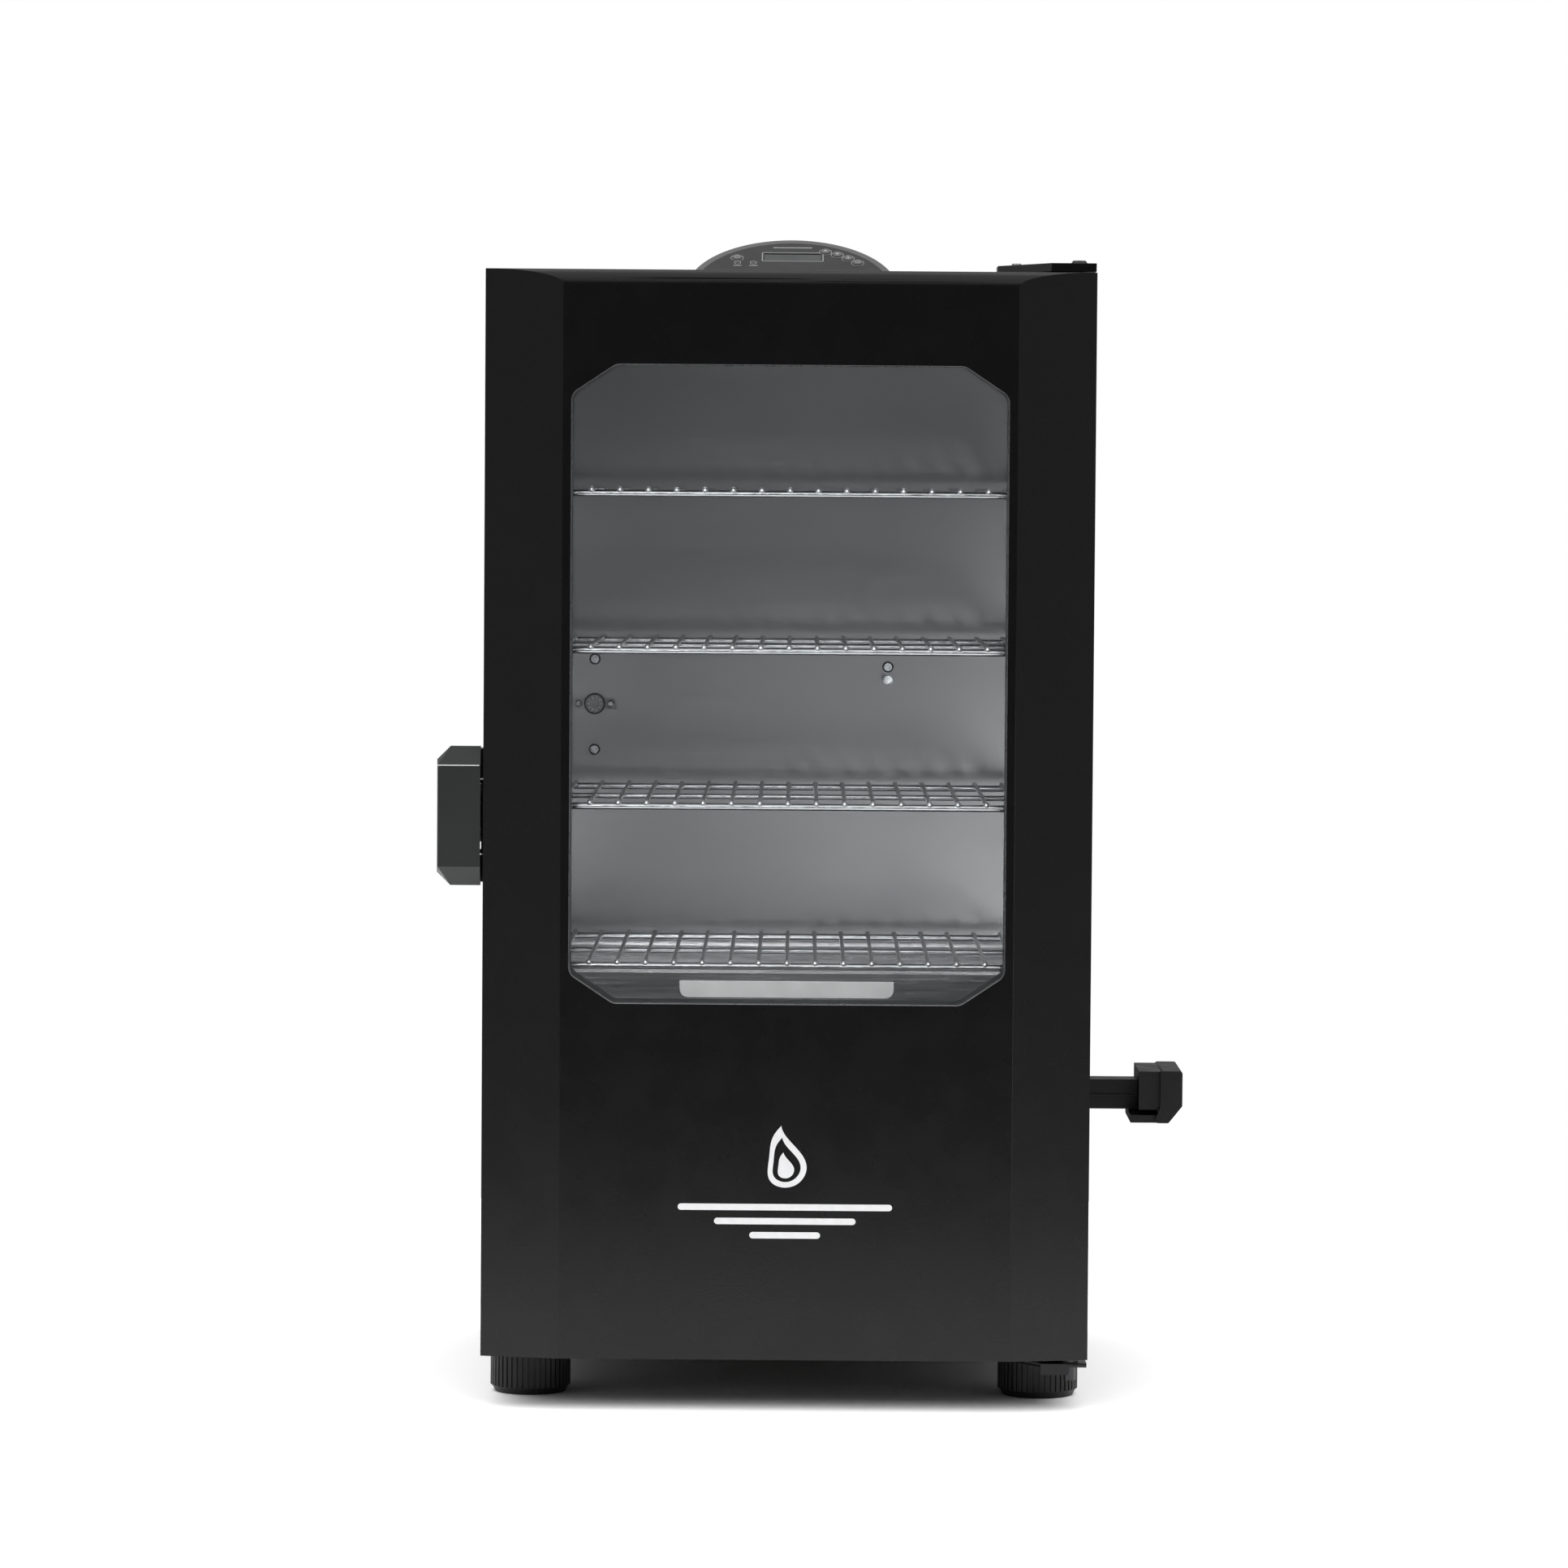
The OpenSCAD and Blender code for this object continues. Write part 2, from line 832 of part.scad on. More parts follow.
// The part of a round slab on the sloped face that lies above a level and behind front
module face_slab(r, drop, thick, level, front = 200) {
  intersection() {
    on_face()
      translate([0, 0, -drop])
        cylinder(r = r, h = thick);
    block([-100, front, level], [100, body_d, level + 60]);
  }
}

function key_place(angle) = [key_ring_r * cos(angle), key_ring_r * sin(angle), 0];
key_places = [for (a = concat([power_angle], key_angles)) key_place(a)];
light_places = [[-42, 43, 0], [-30, 42.5, 0]];

module controller_housing() {
  place()
    color("#4a4b4c")
      difference() {
        face_slab(face_r, 60, 60, body_top);
        face_slab(face_r - 7, 59, 60, body_top - 1, face_y + 2);
        face_slab(panel_r, panel_t, 5, body_top + 3);
      }
}

module controller_face() {
  place()
    color("#39393b")
      difference() {
        face_slab(panel_r - 0.1, panel_t, panel_t, body_top + 3.2);
        on_face() {
          for (p = key_places)
            translate(p + [0, 0, -10])
              cylinder(r = cap_r + slide_gap, h = 20);
          for (p = light_places)
            translate(p + [0, 0, -10])
              cylinder(r = 1.6, h = 20);
          translate([-display_w / 2, display_v - display_h / 2, -10])
            cube([display_w, display_h, 20]);
        }
      }
}

module controller_display() {
  edge = 0.1;
  place()
    color("#20262a")
      on_face()
        union() {
          translate([edge - display_w / 2, display_v - display_h / 2 + edge, -3.2])
            cube([display_w - 2 * edge, display_h - 2 * edge, 2.8]);
          for (p = light_places)
            translate(p + [0, 0, -4])
              cylinder(r = 1.5, h = 4.3);
        }
}

module controller_board() {
  place()
    color("#1f4a2c")
      union() {
        face_slab(face_r - 9, board_drop + 1.6, 1.6, body_top + 2);
        on_face()
          for (p = key_places)
            translate(p + [0, 0, -board_drop - 0.1])
              cylinder(r = 2.6, h = 1.3);
      }
}

// A round key cap with a retaining foot behind the panel
module key_cap(p) {
  place()
    color("#55565a")
      on_face()
        translate(p)
          union() {
            translate([0, 0, -3.4])
              cylinder(r = cap_r, h = 3.4 + cap_proud - 0.5);
            translate([0, 0, cap_proud - 0.5])
              cylinder(r1 = cap_r, r2 = cap_r - 0.5, h = 0.5);
            translate([0, 0, -4.4])
              cylinder(r = cap_r + 1, h = 1);
          }
}

// ---- Hinges and latch on the casing ----

// Outline of a hinge bracket, seen from above
module bracket_outline(rear) {
  polygon([
    [184, hinge_y - 8.5], [door_hw, hinge_y - 8.5], [door_hw, hinge_y + 10],
    [body_w / 2 - 4, 6], [body_w / 2 - 4, rear], [148, rear], [148, min(32, rear - 8)]
  ]);
}

module hinge_bracket_top() {
  place()
    color(black_coat)
      difference() {
        union() {
          translate([0, 0, bracket_z])
            linear_extrude(bracket_t)
              bracket_outline(62);
          block([150, 34, body_top], [body_w / 2 - corner_r, 62, bracket_z]);
        }
        translate([hinge_x, hinge_y, bracket_z - 1])
          cylinder(r = hinge_pin_r + running, h = bracket_t + 2);
        for (p = top_screws)
          translate([p.x, p.y, bracket_z + bracket_t - 2])
            cylinder(r = 2, h = 3);
      }
}

module hinge_bracket_bottom() {
  lip_y = hinge_y - 8.5;
  place()
    color(black_coat)
      difference() {
        union() {
          translate([0, 0, body_z - 3])
            linear_extrude(3)
              bracket_outline(20);
          block([183, lip_y - 3, body_z - 8], [203, lip_y, body_z]);
        }
        translate([hinge_x, hinge_y, body_z - 10])
          cylinder(r = hinge_pin_r + running, h = 20);
        for (p = base_screws)
          translate([p.x, p.y, body_z - 4])
            cylinder(r = 2, h = 3);
      }
}

module hinge_pins() {
  place()
    color(chrome)
      translate([hinge_x, hinge_y, 0])
        union() {
          translate([0, 0, door_top - bush_h])
            cylinder(r = hinge_pin_r, h = bracket_z + bracket_t - door_top + bush_h);
          translate([0, 0, bracket_z + bracket_t])
            cylinder(r1 = 6, r2 = 4.5, h = 2);
          translate([0, 0, body_z - 13])
            cylinder(r = hinge_pin_r, h = 13 + door_z - body_z + bush_h);
          translate([0, 0, body_z])
            cylinder(r = 6.5, h = door_z - body_z - free_gap);
        }
}

module latch_strike() {
  wall_x = -body_w / 2;
  z0 = paddle_z + 28;
  z1 = paddle_z + 70;
  place()
    color(chrome)
      difference() {
        union() {
          block([wall_x - 2, lug_y0, z0], [wall_x, 34, z1]);
          block([wall_x - 12, lug_y0, z0], [wall_x - 1, lug_y1, z1]);
        }
        for (p = strike_screws)
          rod_x(p.x, p.y, wall_x - 3, 2.6, 2);
      }
}

// ---- Door ----

module door_skin() {
  place()
    color(black_coat)
      difference() {
        door_form(0, -door_gap);
        door_form(sheet, 1);
        window_slab(0, -door_front - 1, 10);
        translate([hinge_x, hinge_y, door_z - 1])
          cylinder(r = hinge_pin_r + slide_gap, h = door_h + 2);
      }
}

module door_liner() {
  half_w = door_hw - sheet;
  place()
    color(steel)
      difference() {
        block([-half_w, -door_gap - liner_t, door_z + sheet],
              [half_w, -door_gap, door_top - sheet]);
        window_slab(0, -door_gap - 5, 10);
      }
}

module door_insulation() {
  place()
    color(wool)
      difference() {
        translate([0, 0, door_z + sheet + 0.3])
          linear_extrude(door_h - roll_r - sheet - 1)
            polygon(door_plan(sheet + 0.3, -door_gap - liner_t - 0.2));
        window_slab(13, -door_front, door_t);
        translate([hinge_x, hinge_y, door_z])
          cylinder(r = 7.3, h = door_h);
      }
}

module window_outer() {
  place()
    color(glass)
      window_slab(pane_lap, sheet - door_front + 0.1, pane_t);
}

module window_inner() {
  place()
    color(glass)
      window_slab(pane_lap, -door_gap - liner_t - 0.1 - pane_t, pane_t);
}

module window_spacer() {
  y0 = sheet - door_front + 0.2 + pane_t;
  y1 = -door_gap - liner_t - 0.2 - pane_t;
  place()
    color(black_coat)
      difference() {
        window_slab(12, y0, y1 - y0);
        window_slab(3, y0 - 1, y1 - y0 + 2);
      }
}

module door_seal() {
  bead = 10;
  reach = 2;
  place()
    color("#2b2b2b")
      difference() {
        block([-cav_hw - reach - bead, 0.05 - door_gap, cav_z0 - reach - bead],
              [cav_hw + reach + bead, -free_gap, cav_z1 + reach + bead]);
        block([-cav_hw - reach, -door_gap - 1, cav_z0 - reach],
              [cav_hw + reach, 1, cav_z1 + reach]);
      }
}

module door_bushes() {
  place()
    color("#c9a45a")
      translate([hinge_x, hinge_y, 0])
        difference() {
          union() {
            translate([0, 0, door_z + sheet])
              cylinder(r = 7, h = bush_h);
            translate([0, 0, door_top - sheet - bush_h])
              cylinder(r = 7, h = bush_h);
          }
          cylinder(r = hinge_pin_r + running, h = door_top + 1);
        }
}

module latch_bracket() {
  side_x = -door_hw;
  place()
    color(black_coat)
      difference() {
        union() {
          block([side_x - 2, -32, ear_z0], [side_x, -12, ear_z1 + ear_t]);
          for (z = [ear_z0, ear_z1])
            translate([0, 0, z])
              linear_extrude(ear_t)
                union() {
                  translate([latch_x, latch_y])
                    circle(3.4);
                  polygon([
                    [latch_x - 3.4, latch_y], [latch_x + 3.4, latch_y],
                    [side_x - 1, latch_y + 12], [side_x - 1, -12], [latch_x + 1, -20]
                  ]);
                }
        }
        translate([latch_x, latch_y, ear_z0 - 1])
          cylinder(r = latch_pin_r + running, h = ear_z1 - ear_z0 + 10);
      }
}

module latch_pin() {
  place()
    color(chrome)
      translate([latch_x, latch_y, 0])
        union() {
          translate([0, 0, ear_z0])
            cylinder(r = latch_pin_r, h = ear_z1 + ear_t - ear_z0);
          translate([0, 0, ear_z1 + ear_t])
            cylinder(r = 3, h = 1.4);
          translate([0, 0, ear_z0 - 1.4])
            cylinder(r = 3, h = 1.4);
        }
}

// The paddle's dished form; inset draws it smaller for the hollow behind it
module paddle_form(inset) {
  outer = -latch_reach + inset;
  inner = -door_hw - 2 + 2 * inset;
  z0 = paddle_z + inset;
  z1 = paddle_z + paddle_h - inset;
  cut = 9.5;
  rim_y = latch_y + 4;
  hull() {
    along_y(rim_y - 2, 2 + inset)
      polygon([
        [outer + cut, z0], [inner, z0], [inner, z1], [outer + cut, z1],
        [outer, z1 - cut], [outer, z0 + cut]
      ]);
    along_y(paddle_front + inset, 1)
      polygon([
        [outer + 1, z0 + paddle_bevel], [inner, z0 + paddle_bevel],
        [inner, z1 - paddle_bevel], [outer + 1, z1 - paddle_bevel]
      ]);
  }
}

module latch_lever() {
  barrel_r = 3.7;
  barrel_z0 = ear_z0 + ear_t + free_gap;
  barrel_z1 = ear_z1 - free_gap;
  hook_z0 = paddle_z + 30;
  hook_z1 = paddle_z + 68;
  tip_y = lug_y1 + 0.5;
  place()
    color("#3b3c3c")
      difference() {
        union() {
          difference() {
            paddle_form(0);
            paddle_form(paddle_wall);
          }
          translate([latch_x, latch_y, barrel_z0])
            cylinder(r = barrel_r, h = barrel_z1 - barrel_z0);
          block([latch_x - 3, paddle_front + 1, barrel_z0], [latch_x + 3, latch_y, barrel_z1]);
          block([latch_x - 2, latch_y, hook_z0], [latch_x + 2, tip_y + 5, hook_z1]);
          block([latch_x - 2, tip_y, hook_z0], [-body_w / 2 - 6.5, tip_y + 5, hook_z1]);
        }
        translate([latch_x, latch_y, barrel_z0 - 1])
          cylinder(r = latch_pin_r + running, h = barrel_z1 - barrel_z0 + 2);
      }
}

// ---- Racks ----

module rack(z) {
  rear = rack_front + rack_d;
  pitch = (2 * side_rail_x - 32) / (rack_wires - 1);
  place()
    color(chrome)
      translate([0, 0, z])
        union() {
          for (y = [rack_front + rail_r, rear - rail_r])
            rod_x(y, 0, -side_rail_x, 2 * side_rail_x, rail_r);
          for (x = [-side_rail_x, side_rail_x]) {
            rod_y(x, 0, rack_front + rail_r, rack_d - 2 * rail_r, rail_r);
            for (y = [rack_front + rail_r, rear - rail_r])
              translate([x, y, 0])
                sphere(rail_r);
          }
          rod_x((rack_front + rear) / 2, 0, -side_rail_x, 2 * side_rail_x, rail_r - 0.5);
          for (i = [0:rack_wires - 1])
            rod_y(16 - side_rail_x + i * pitch, wire_lift, rack_front + 0.5, rack_d - 1, wire_r);
        }
}

// ---- Feet ----

module foot_studs() {
  place()
    color(chrome)
      for (x = [-foot_x, foot_x], y = foot_ys)
        translate([x, y, 0])
          union() {
            translate([0, 0, 8])
              cylinder(r = stud_r, h = body_z + 8);
            translate([0, 0, foot_h + 0.4])
              cylinder(r = 8, h = body_z - foot_h - 0.4, $fn = 6);
            translate([0, 0, body_z + sheet])
              cylinder(r = 7.5, h = 5, $fn = 6);
          }
}

module foot(x, y) {
  bevel_h = 5;
  groove = 1.2;
  depth = 0.9;
  place()
    color(black_plastic)
      translate([x, y, 0])
        difference() {
          union() {
            cylinder(r1 = foot_r - 3.5, r2 = foot_r - depth, h = bevel_h);
            translate([0, 0, bevel_h])
              linear_extrude(foot_h - bevel_h)
                difference() {
                  circle(foot_r);
                  for (i = [0:foot_grooves - 1])
                    rotate(i * 360 / foot_grooves)
                      translate([foot_r - depth, -groove / 2])
                        square([3, groove]);
                }
          }
          translate([0, 0, 7])
            cylinder(r = stud_r + running, h = foot_h);
        }
}

outer_shell();
back_panel();
base_pan();
front_frame();
inner_liner();
insulation();
rack_supports();
heating_element();
chip_housing();
loader_guide();
drain_tube();
limit_thermostat();
temp_probe();
cabinet_screws();
controller_housing();
controller_face();
controller_board();
controller_display();
hinge_bracket_top();
hinge_bracket_bottom();
hinge_pins();
latch_strike();
foot_studs();
damper_base();
grease_rails();
rear_handle();
wiring_cover();
cord_gland();
door_skin();
door_liner();
door_insulation();
window_outer();
window_inner();
window_spacer();
door_seal();
door_bushes();
latch_bracket();
latch_pin();
latch_lever();
key_cap(key_places[0]);  // button_power
key_cap(key_places[1]);  // button_1
key_cap(key_places[2]);  // button_2
key_cap(key_places[3]);  // button_3
key_cap(key_places[4]);  // button_4
damper_disc();
foot(-foot_x, foot_ys[0]);  // foot_front_left
foot(foot_x, foot_ys[0]);  // foot_front_right
foot(-foot_x, foot_ys[1]);  // foot_rear_left
foot(foot_x, foot_ys[1]);  // foot_rear_right
grease_tray();
rack(rack_z[0]);  // rack_1
rack(rack_z[1]);  // rack_2
rack(rack_z[2]);  // rack_3
rack(rack_z[3]);  // rack_4
water_pan();
drip_pan();
chip_tray();
loader_collar();
loader_scoop();
loader_handle();
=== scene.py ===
"""Electric cabinet smoker: finishes, pressed edges and small details around its CAD frame.

Everything is in metres, in the frame's own axes: X to the right, Y to the back, Z up.
"""

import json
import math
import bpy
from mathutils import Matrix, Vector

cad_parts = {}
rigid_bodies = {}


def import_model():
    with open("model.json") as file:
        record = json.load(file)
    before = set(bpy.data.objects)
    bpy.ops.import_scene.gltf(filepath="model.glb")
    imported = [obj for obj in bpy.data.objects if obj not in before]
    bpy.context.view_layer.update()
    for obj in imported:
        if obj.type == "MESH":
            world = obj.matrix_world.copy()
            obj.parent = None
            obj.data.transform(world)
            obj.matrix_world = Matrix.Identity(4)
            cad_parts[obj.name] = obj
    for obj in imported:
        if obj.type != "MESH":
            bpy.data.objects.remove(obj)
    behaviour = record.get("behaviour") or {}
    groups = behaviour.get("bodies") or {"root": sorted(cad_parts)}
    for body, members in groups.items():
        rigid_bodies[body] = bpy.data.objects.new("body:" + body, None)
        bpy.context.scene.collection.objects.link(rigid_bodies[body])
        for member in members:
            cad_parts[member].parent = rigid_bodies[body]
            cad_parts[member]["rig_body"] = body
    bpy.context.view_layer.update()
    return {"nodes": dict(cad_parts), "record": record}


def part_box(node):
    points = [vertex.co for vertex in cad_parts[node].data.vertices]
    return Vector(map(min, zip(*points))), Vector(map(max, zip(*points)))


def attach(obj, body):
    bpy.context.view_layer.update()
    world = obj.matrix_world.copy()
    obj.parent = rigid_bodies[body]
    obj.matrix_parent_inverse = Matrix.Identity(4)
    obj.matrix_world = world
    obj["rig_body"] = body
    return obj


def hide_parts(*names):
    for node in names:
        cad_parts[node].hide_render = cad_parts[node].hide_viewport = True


bl_info = {
    "name": "Cabinet Smoker",
    "version": (1, 0, 0),
    "blender": (4, 5, 0),
    "location": "3D View > Sidebar > Smoker",
    "description": "Dresses the packed frame of an electric cabinet smoker",
    "category": "Object",
}

import bmesh
import bpy
from bpy.props import FloatProperty, FloatVectorProperty, IntProperty, PointerProperty
from bpy.types import Operator, Panel, PropertyGroup
from mathutils import Matrix, Vector

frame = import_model()

MM = 0.001
WHITE = (1.0, 1.0, 1.0, 1.0)

# What the frame says about where things are
DOOR_LOW, DOOR_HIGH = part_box("door_skin")
CASING_LOW, CASING_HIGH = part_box("outer_shell")
PANE_LOW, PANE_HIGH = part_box("window_outer")
MIDDLE_X = (CASING_LOW.x + CASING_HIGH.x) / 2
DOOR_FRONT = DOOR_LOW.y


# ---- Settings ----


class SmokerCoatings(PropertyGroup):
    """Colours and gloss of the smoker's finishes."""

    coat_colour: FloatVectorProperty(
        name="Powder coat", description="Colour of the cabinet's powder coat",
        subtype="COLOR", size=4, min=0, max=1, default=(0.0040, 0.0040, 0.0045, 1))
    coat_roughness: FloatProperty(
        name="Coat roughness", description="How matt the powder coat is",
        subtype="FACTOR", min=0, max=1, default=0.27)
    latch_colour: FloatVectorProperty(
        name="Latch", description="Colour of the latch paddle",
        subtype="COLOR", size=4, min=0, max=1, default=(0.036, 0.038, 0.038, 1))
    steel_colour: FloatVectorProperty(
        name="Stainless steel", description="Colour of the inner sheets",
        subtype="COLOR", size=4, min=0, max=1, default=(0.50, 0.50, 0.51, 1))
    plastic_colour: FloatVectorProperty(
        name="Plastic", description="Colour of the feet, grips and loader",
        subtype="COLOR", size=4, min=0, max=1, default=(0.0055, 0.005, 0.0055, 1))
    ink_colour: FloatVectorProperty(
        name="Ink", description="Colour of the printed marks",
        subtype="COLOR", size=4, min=0, max=1, default=(0.86, 0.86, 0.87, 1))


class SmokerDetails(PropertyGroup):
    """Sizes of the pieces that are added to the frame."""

    hem_radius: FloatProperty(
        name="Hem radius", description="Radius along the door's folded edges",
        unit="LENGTH", min=0.0004, max=0.004, default=1.5 * MM)
    fold_radius: FloatProperty(
        name="Fold radius", description="How wide the soft fold beside the door's panel is",
        unit="LENGTH", min=0.0005, max=0.01, default=2.6 * MM)
    bead_width: FloatProperty(
        name="Window bead", description="Width of the bead round the window",
        unit="LENGTH", min=0.0005, max=0.004, default=1.0 * MM)
    mark_height: FloatProperty(
        name="Flame height", description="Height of the flame printed on the door",
        unit="LENGTH", min=0.01, max=0.08, default=44 * MM)
    mark_rise: FloatProperty(
        name="Mark rise", description="Height of the flame's middle above the floor",
        unit="LENGTH", min=0.05, max=0.3, default=182 * MM)
    rule_length: FloatProperty(
        name="Rule length", description="Length of the longest rule below the flame",
        unit="LENGTH", min=0.02, max=0.3, default=152 * MM)
    weld_radius: FloatProperty(
        name="Weld radius", description="Radius of the weld at each rack wire's end",
        unit="LENGTH", min=0.001, max=0.004, default=2.7 * MM)
    rack_wires: IntProperty(
        name="Rack wires", description="Number of wires in a rack", min=5, max=30, default=17)
    louvre_count: IntProperty(
        name="Louvres", description="Number of louvres in the wiring cover",
        min=1, max=12, default=6)


class SmokerStage(PropertyGroup):
    """The camera and the studio."""

    camera_distance: FloatProperty(
        name="Camera distance", description="From the camera to the door's front",
        unit="LENGTH", min=1, max=20, default=4.2)
    camera_height: FloatProperty(
        name="Camera height", description="Height of the camera above the floor",
        unit="LENGTH", min=0, max=3, default=0.656)
    camera_side: FloatProperty(
        name="Camera offset", description="How far the camera is to the right of the middle",
        unit="LENGTH", min=-1, max=1, default=0.009)
    camera_lens: FloatProperty(
        name="Lens", description="Focal length in millimetres",
        unit="CAMERA", min=20, max=300, default=136.6)
    camera_tilt: FloatProperty(
        name="Tilt", description="How far the camera looks down",
        subtype="ANGLE", default=math.radians(2.5))
    camera_roll: FloatProperty(
        name="Roll", description="How far the camera leans to its left",
        subtype="ANGLE", default=math.radians(0.42))
    top_light: FloatProperty(
        name="Top light", description="Strength of the wide light overhead",
        min=0, max=20, default=1.8)
    floor_light: FloatProperty(
        name="Floor light", description="Strength of the light on the floor alone",
        min=0, max=20, default=3.2)
    studio_light: FloatProperty(
        name="Studio", description="Brightness of the studio's sides and back",
        min=0, max=5, default=0.45)


def coatings():
    return bpy.context.scene.smoker_coatings


def details():
    return bpy.context.scene.smoker_details


# ---- Node helpers ----


def new_finish(name):
    """A material with one Principled shader: the material, its tree and the shader."""
    material = bpy.data.materials.new(name)
    material.use_nodes = True
    tree = material.node_tree
    return material, tree, tree.nodes["Principled BSDF"]


SOCKETS = {"specular": "Specular IOR Level", "ior": "IOR"}


def settle(shader, **values):
    """Sets plain values on the shader's own sockets, named with _ for a space."""
    for name, value in values.items():
        socket = SOCKETS.get(name, name.replace("_", " ").title())
        shader.inputs[socket].default_value = value


def grain(tree, stretch, detail=2.0, rough=0.5):
    """Noise on Object coordinates, stretched by its three scales; one value out."""
    coords = tree.nodes.new("ShaderNodeTexCoord")
    mapping = tree.nodes.new("ShaderNodeMapping")
    noise = tree.nodes.new("ShaderNodeTexNoise")
    mapping.inputs["Scale"].default_value = stretch
    noise.inputs["Scale"].default_value = 1.0
    noise.inputs["Detail"].default_value = detail
    noise.inputs["Roughness"].default_value = rough
    tree.links.new(coords.outputs["Object"], mapping.inputs["Vector"])
    tree.links.new(mapping.outputs["Vector"], noise.inputs["Vector"])
    return noise.outputs["Fac"]


def even(scale):
    """The same scale along each axis."""
    return (scale, scale, scale)


def spread(tree, value, low, high, start=0.3, end=0.7):
    """A noise value taken from start..end to low..high."""
    node = tree.nodes.new("ShaderNodeMapRange")
    tree.links.new(value, node.inputs["Value"])
    node.inputs["From Min"].default_value = start
    node.inputs["From Max"].default_value = end
    node.inputs["To Min"].default_value = low
    node.inputs["To Max"].default_value = high
    return node.outputs["Result"]


def tinted(tree, factor, first, second):
    """A colour between two, by factor."""
    node = tree.nodes.new("ShaderNodeMix")
    node.data_type = "RGBA"
    tree.links.new(factor, node.inputs["Factor"])
    node.inputs["A"].default_value = first
    node.inputs["B"].default_value = second
    return node.outputs["Result"]


def relief(tree, shader, height, depth, strength=1.0):
    """Bumps on the surface, as deep as depth in metres."""
    node = tree.nodes.new("ShaderNodeBump")
    node.inputs["Strength"].default_value = strength
    node.inputs["Distance"].default_value = depth
    tree.links.new(height, node.inputs["Height"])
    tree.links.new(node.outputs["Normal"], shader.inputs["Normal"])


def scaled(colour, share):
    """The colour, lighter or darker by share."""
    return (*(min(1.0, c * share) for c in colour[:3]), 1.0)


def mottled(tree, shader, colour, size, swing):
    """Lets the colour wander a little over the surface."""
    value = spread(tree, grain(tree, even(size)), 0.0, 1.0)
    result = tinted(tree, value, scaled(colour, 1 - swing), scaled(colour, 1 + swing))
    tree.links.new(result, shader.inputs["Base Color"])


def worn_gloss(tree, shader, size, low, high):
    """Lets the roughness wander between low and high."""
    value = spread(tree, grain(tree, even(size), detail=3.0), low, high)
    tree.links.new(value, shader.inputs["Roughness"])


# ---- Finishes ----


def powder_coat(name, colour, roughness, grit=700.0):
    """Baked powder coat with its fine orange peel."""
    material, tree, shader = new_finish(name)
    mottled(tree, shader, colour, size=9.0, swing=0.07)
    worn_gloss(tree, shader, size=38.0, low=roughness - 0.02, high=roughness + 0.03)
    peel = grain(tree, even(grit), rough=0.6)
    relief(tree, shader, peel, depth=0.11 * MM, strength=0.3)
    settle(shader, specular=0.34)
    return material


def brushed_steel(name, colour, stretch, low, high):
    """Sheet steel, brushed along the axis with the smallest stretch."""
    material, tree, shader = new_finish(name)
    lines = grain(tree, stretch, detail=4.0, rough=0.65)
    tree.links.new(spread(tree, lines, low, high), shader.inputs["Roughness"])
    cloud = spread(tree, grain(tree, even(5.0)), 0.0, 1.0)
    result = tinted(tree, cloud, scaled(colour, 0.93), scaled(colour, 1.06))
    tree.links.new(result, shader.inputs["Base Color"])
    relief(tree, shader, lines, depth=0.03 * MM, strength=0.5)
    settle(shader, metallic=1.0, anisotropic=0.35)
    return material


def bright_metal(name, colour, low, high):
    """Plated wire and hardware with faint polishing marks."""
    material, tree, shader = new_finish(name)
    mottled(tree, shader, colour, size=60.0, swing=0.06)
    worn_gloss(tree, shader, size=240.0, low=low, high=high)
    relief(tree, shader, grain(tree, even(900.0)), depth=0.02 * MM, strength=0.3)
    settle(shader, metallic=1.0)
    return material


def moulded_plastic(name, colour, low, high, grit=1500.0, depth=0.035 * MM):
    """Moulded plastic with a spark-eroded grain."""
    material, tree, shader = new_finish(name)
    mottled(tree, shader, colour, size=30.0, swing=0.08)
    worn_gloss(tree, shader, size=90.0, low=low, high=high)
    relief(tree, shader, grain(tree, even(grit), rough=0.6), depth, strength=0.35)
    settle(shader, specular=0.35)
    return material


def window_glass(name):
    """Clear glass that lets lamps through."""
    material, tree, shader = new_finish(name)
    settle(shader, base_color=(0.96, 0.97, 0.97, 1), transmission_weight=1.0, ior=1.45,
           roughness=0.0)
    path = tree.nodes.new("ShaderNodeLightPath")
    clear = tree.nodes.new("ShaderNodeBsdfTransparent")
    clear.inputs["Color"].default_value = (0.95, 0.96, 0.96, 1)
    mix = tree.nodes.new("ShaderNodeMixShader")
    tree.links.new(path.outputs["Is Shadow Ray"], mix.inputs["Fac"])
    tree.links.new(shader.outputs["BSDF"], mix.inputs[1])
    tree.links.new(clear.outputs["BSDF"], mix.inputs[2])
    tree.links.new(mix.outputs["Shader"], tree.nodes["Material Output"].inputs["Surface"])
    return material


def mineral_wool(name):
    """Loose yellow wool with fibres lying every way."""
    material, tree, shader = new_finish(name)
    fibres = grain(tree, (900.0, 120.0, 120.0), detail=5.0, rough=0.7)
    shade = spread(tree, fibres, 0.0, 1.0)
    result = tinted(tree, shade, (0.26, 0.20, 0.08, 1), (0.62, 0.54, 0.33, 1))
    tree.links.new(result, shader.inputs["Base Color"])
    relief(tree, shader, fibres, depth=1.2 * MM, strength=0.9)
    settle(shader, roughness=0.95, sheen_weight=0.3)
    return material


def circuit_board(name):
    """Green solder mask with tracks under it."""
    material, tree, shader = new_finish(name)
    noise = grain(tree, (700.0, 700.0, 90.0), detail=1.0)
    tracks = spread(tree, noise, 0.0, 1.0, start=0.48, end=0.52)
    result = tinted(tree, tracks, (0.012, 0.07, 0.025, 1), (0.03, 0.14, 0.05, 1))
    tree.links.new(result, shader.inputs["Base Color"])
    relief(tree, shader, tracks, depth=0.04 * MM, strength=0.5)
    settle(shader, roughness=0.35)
    return material


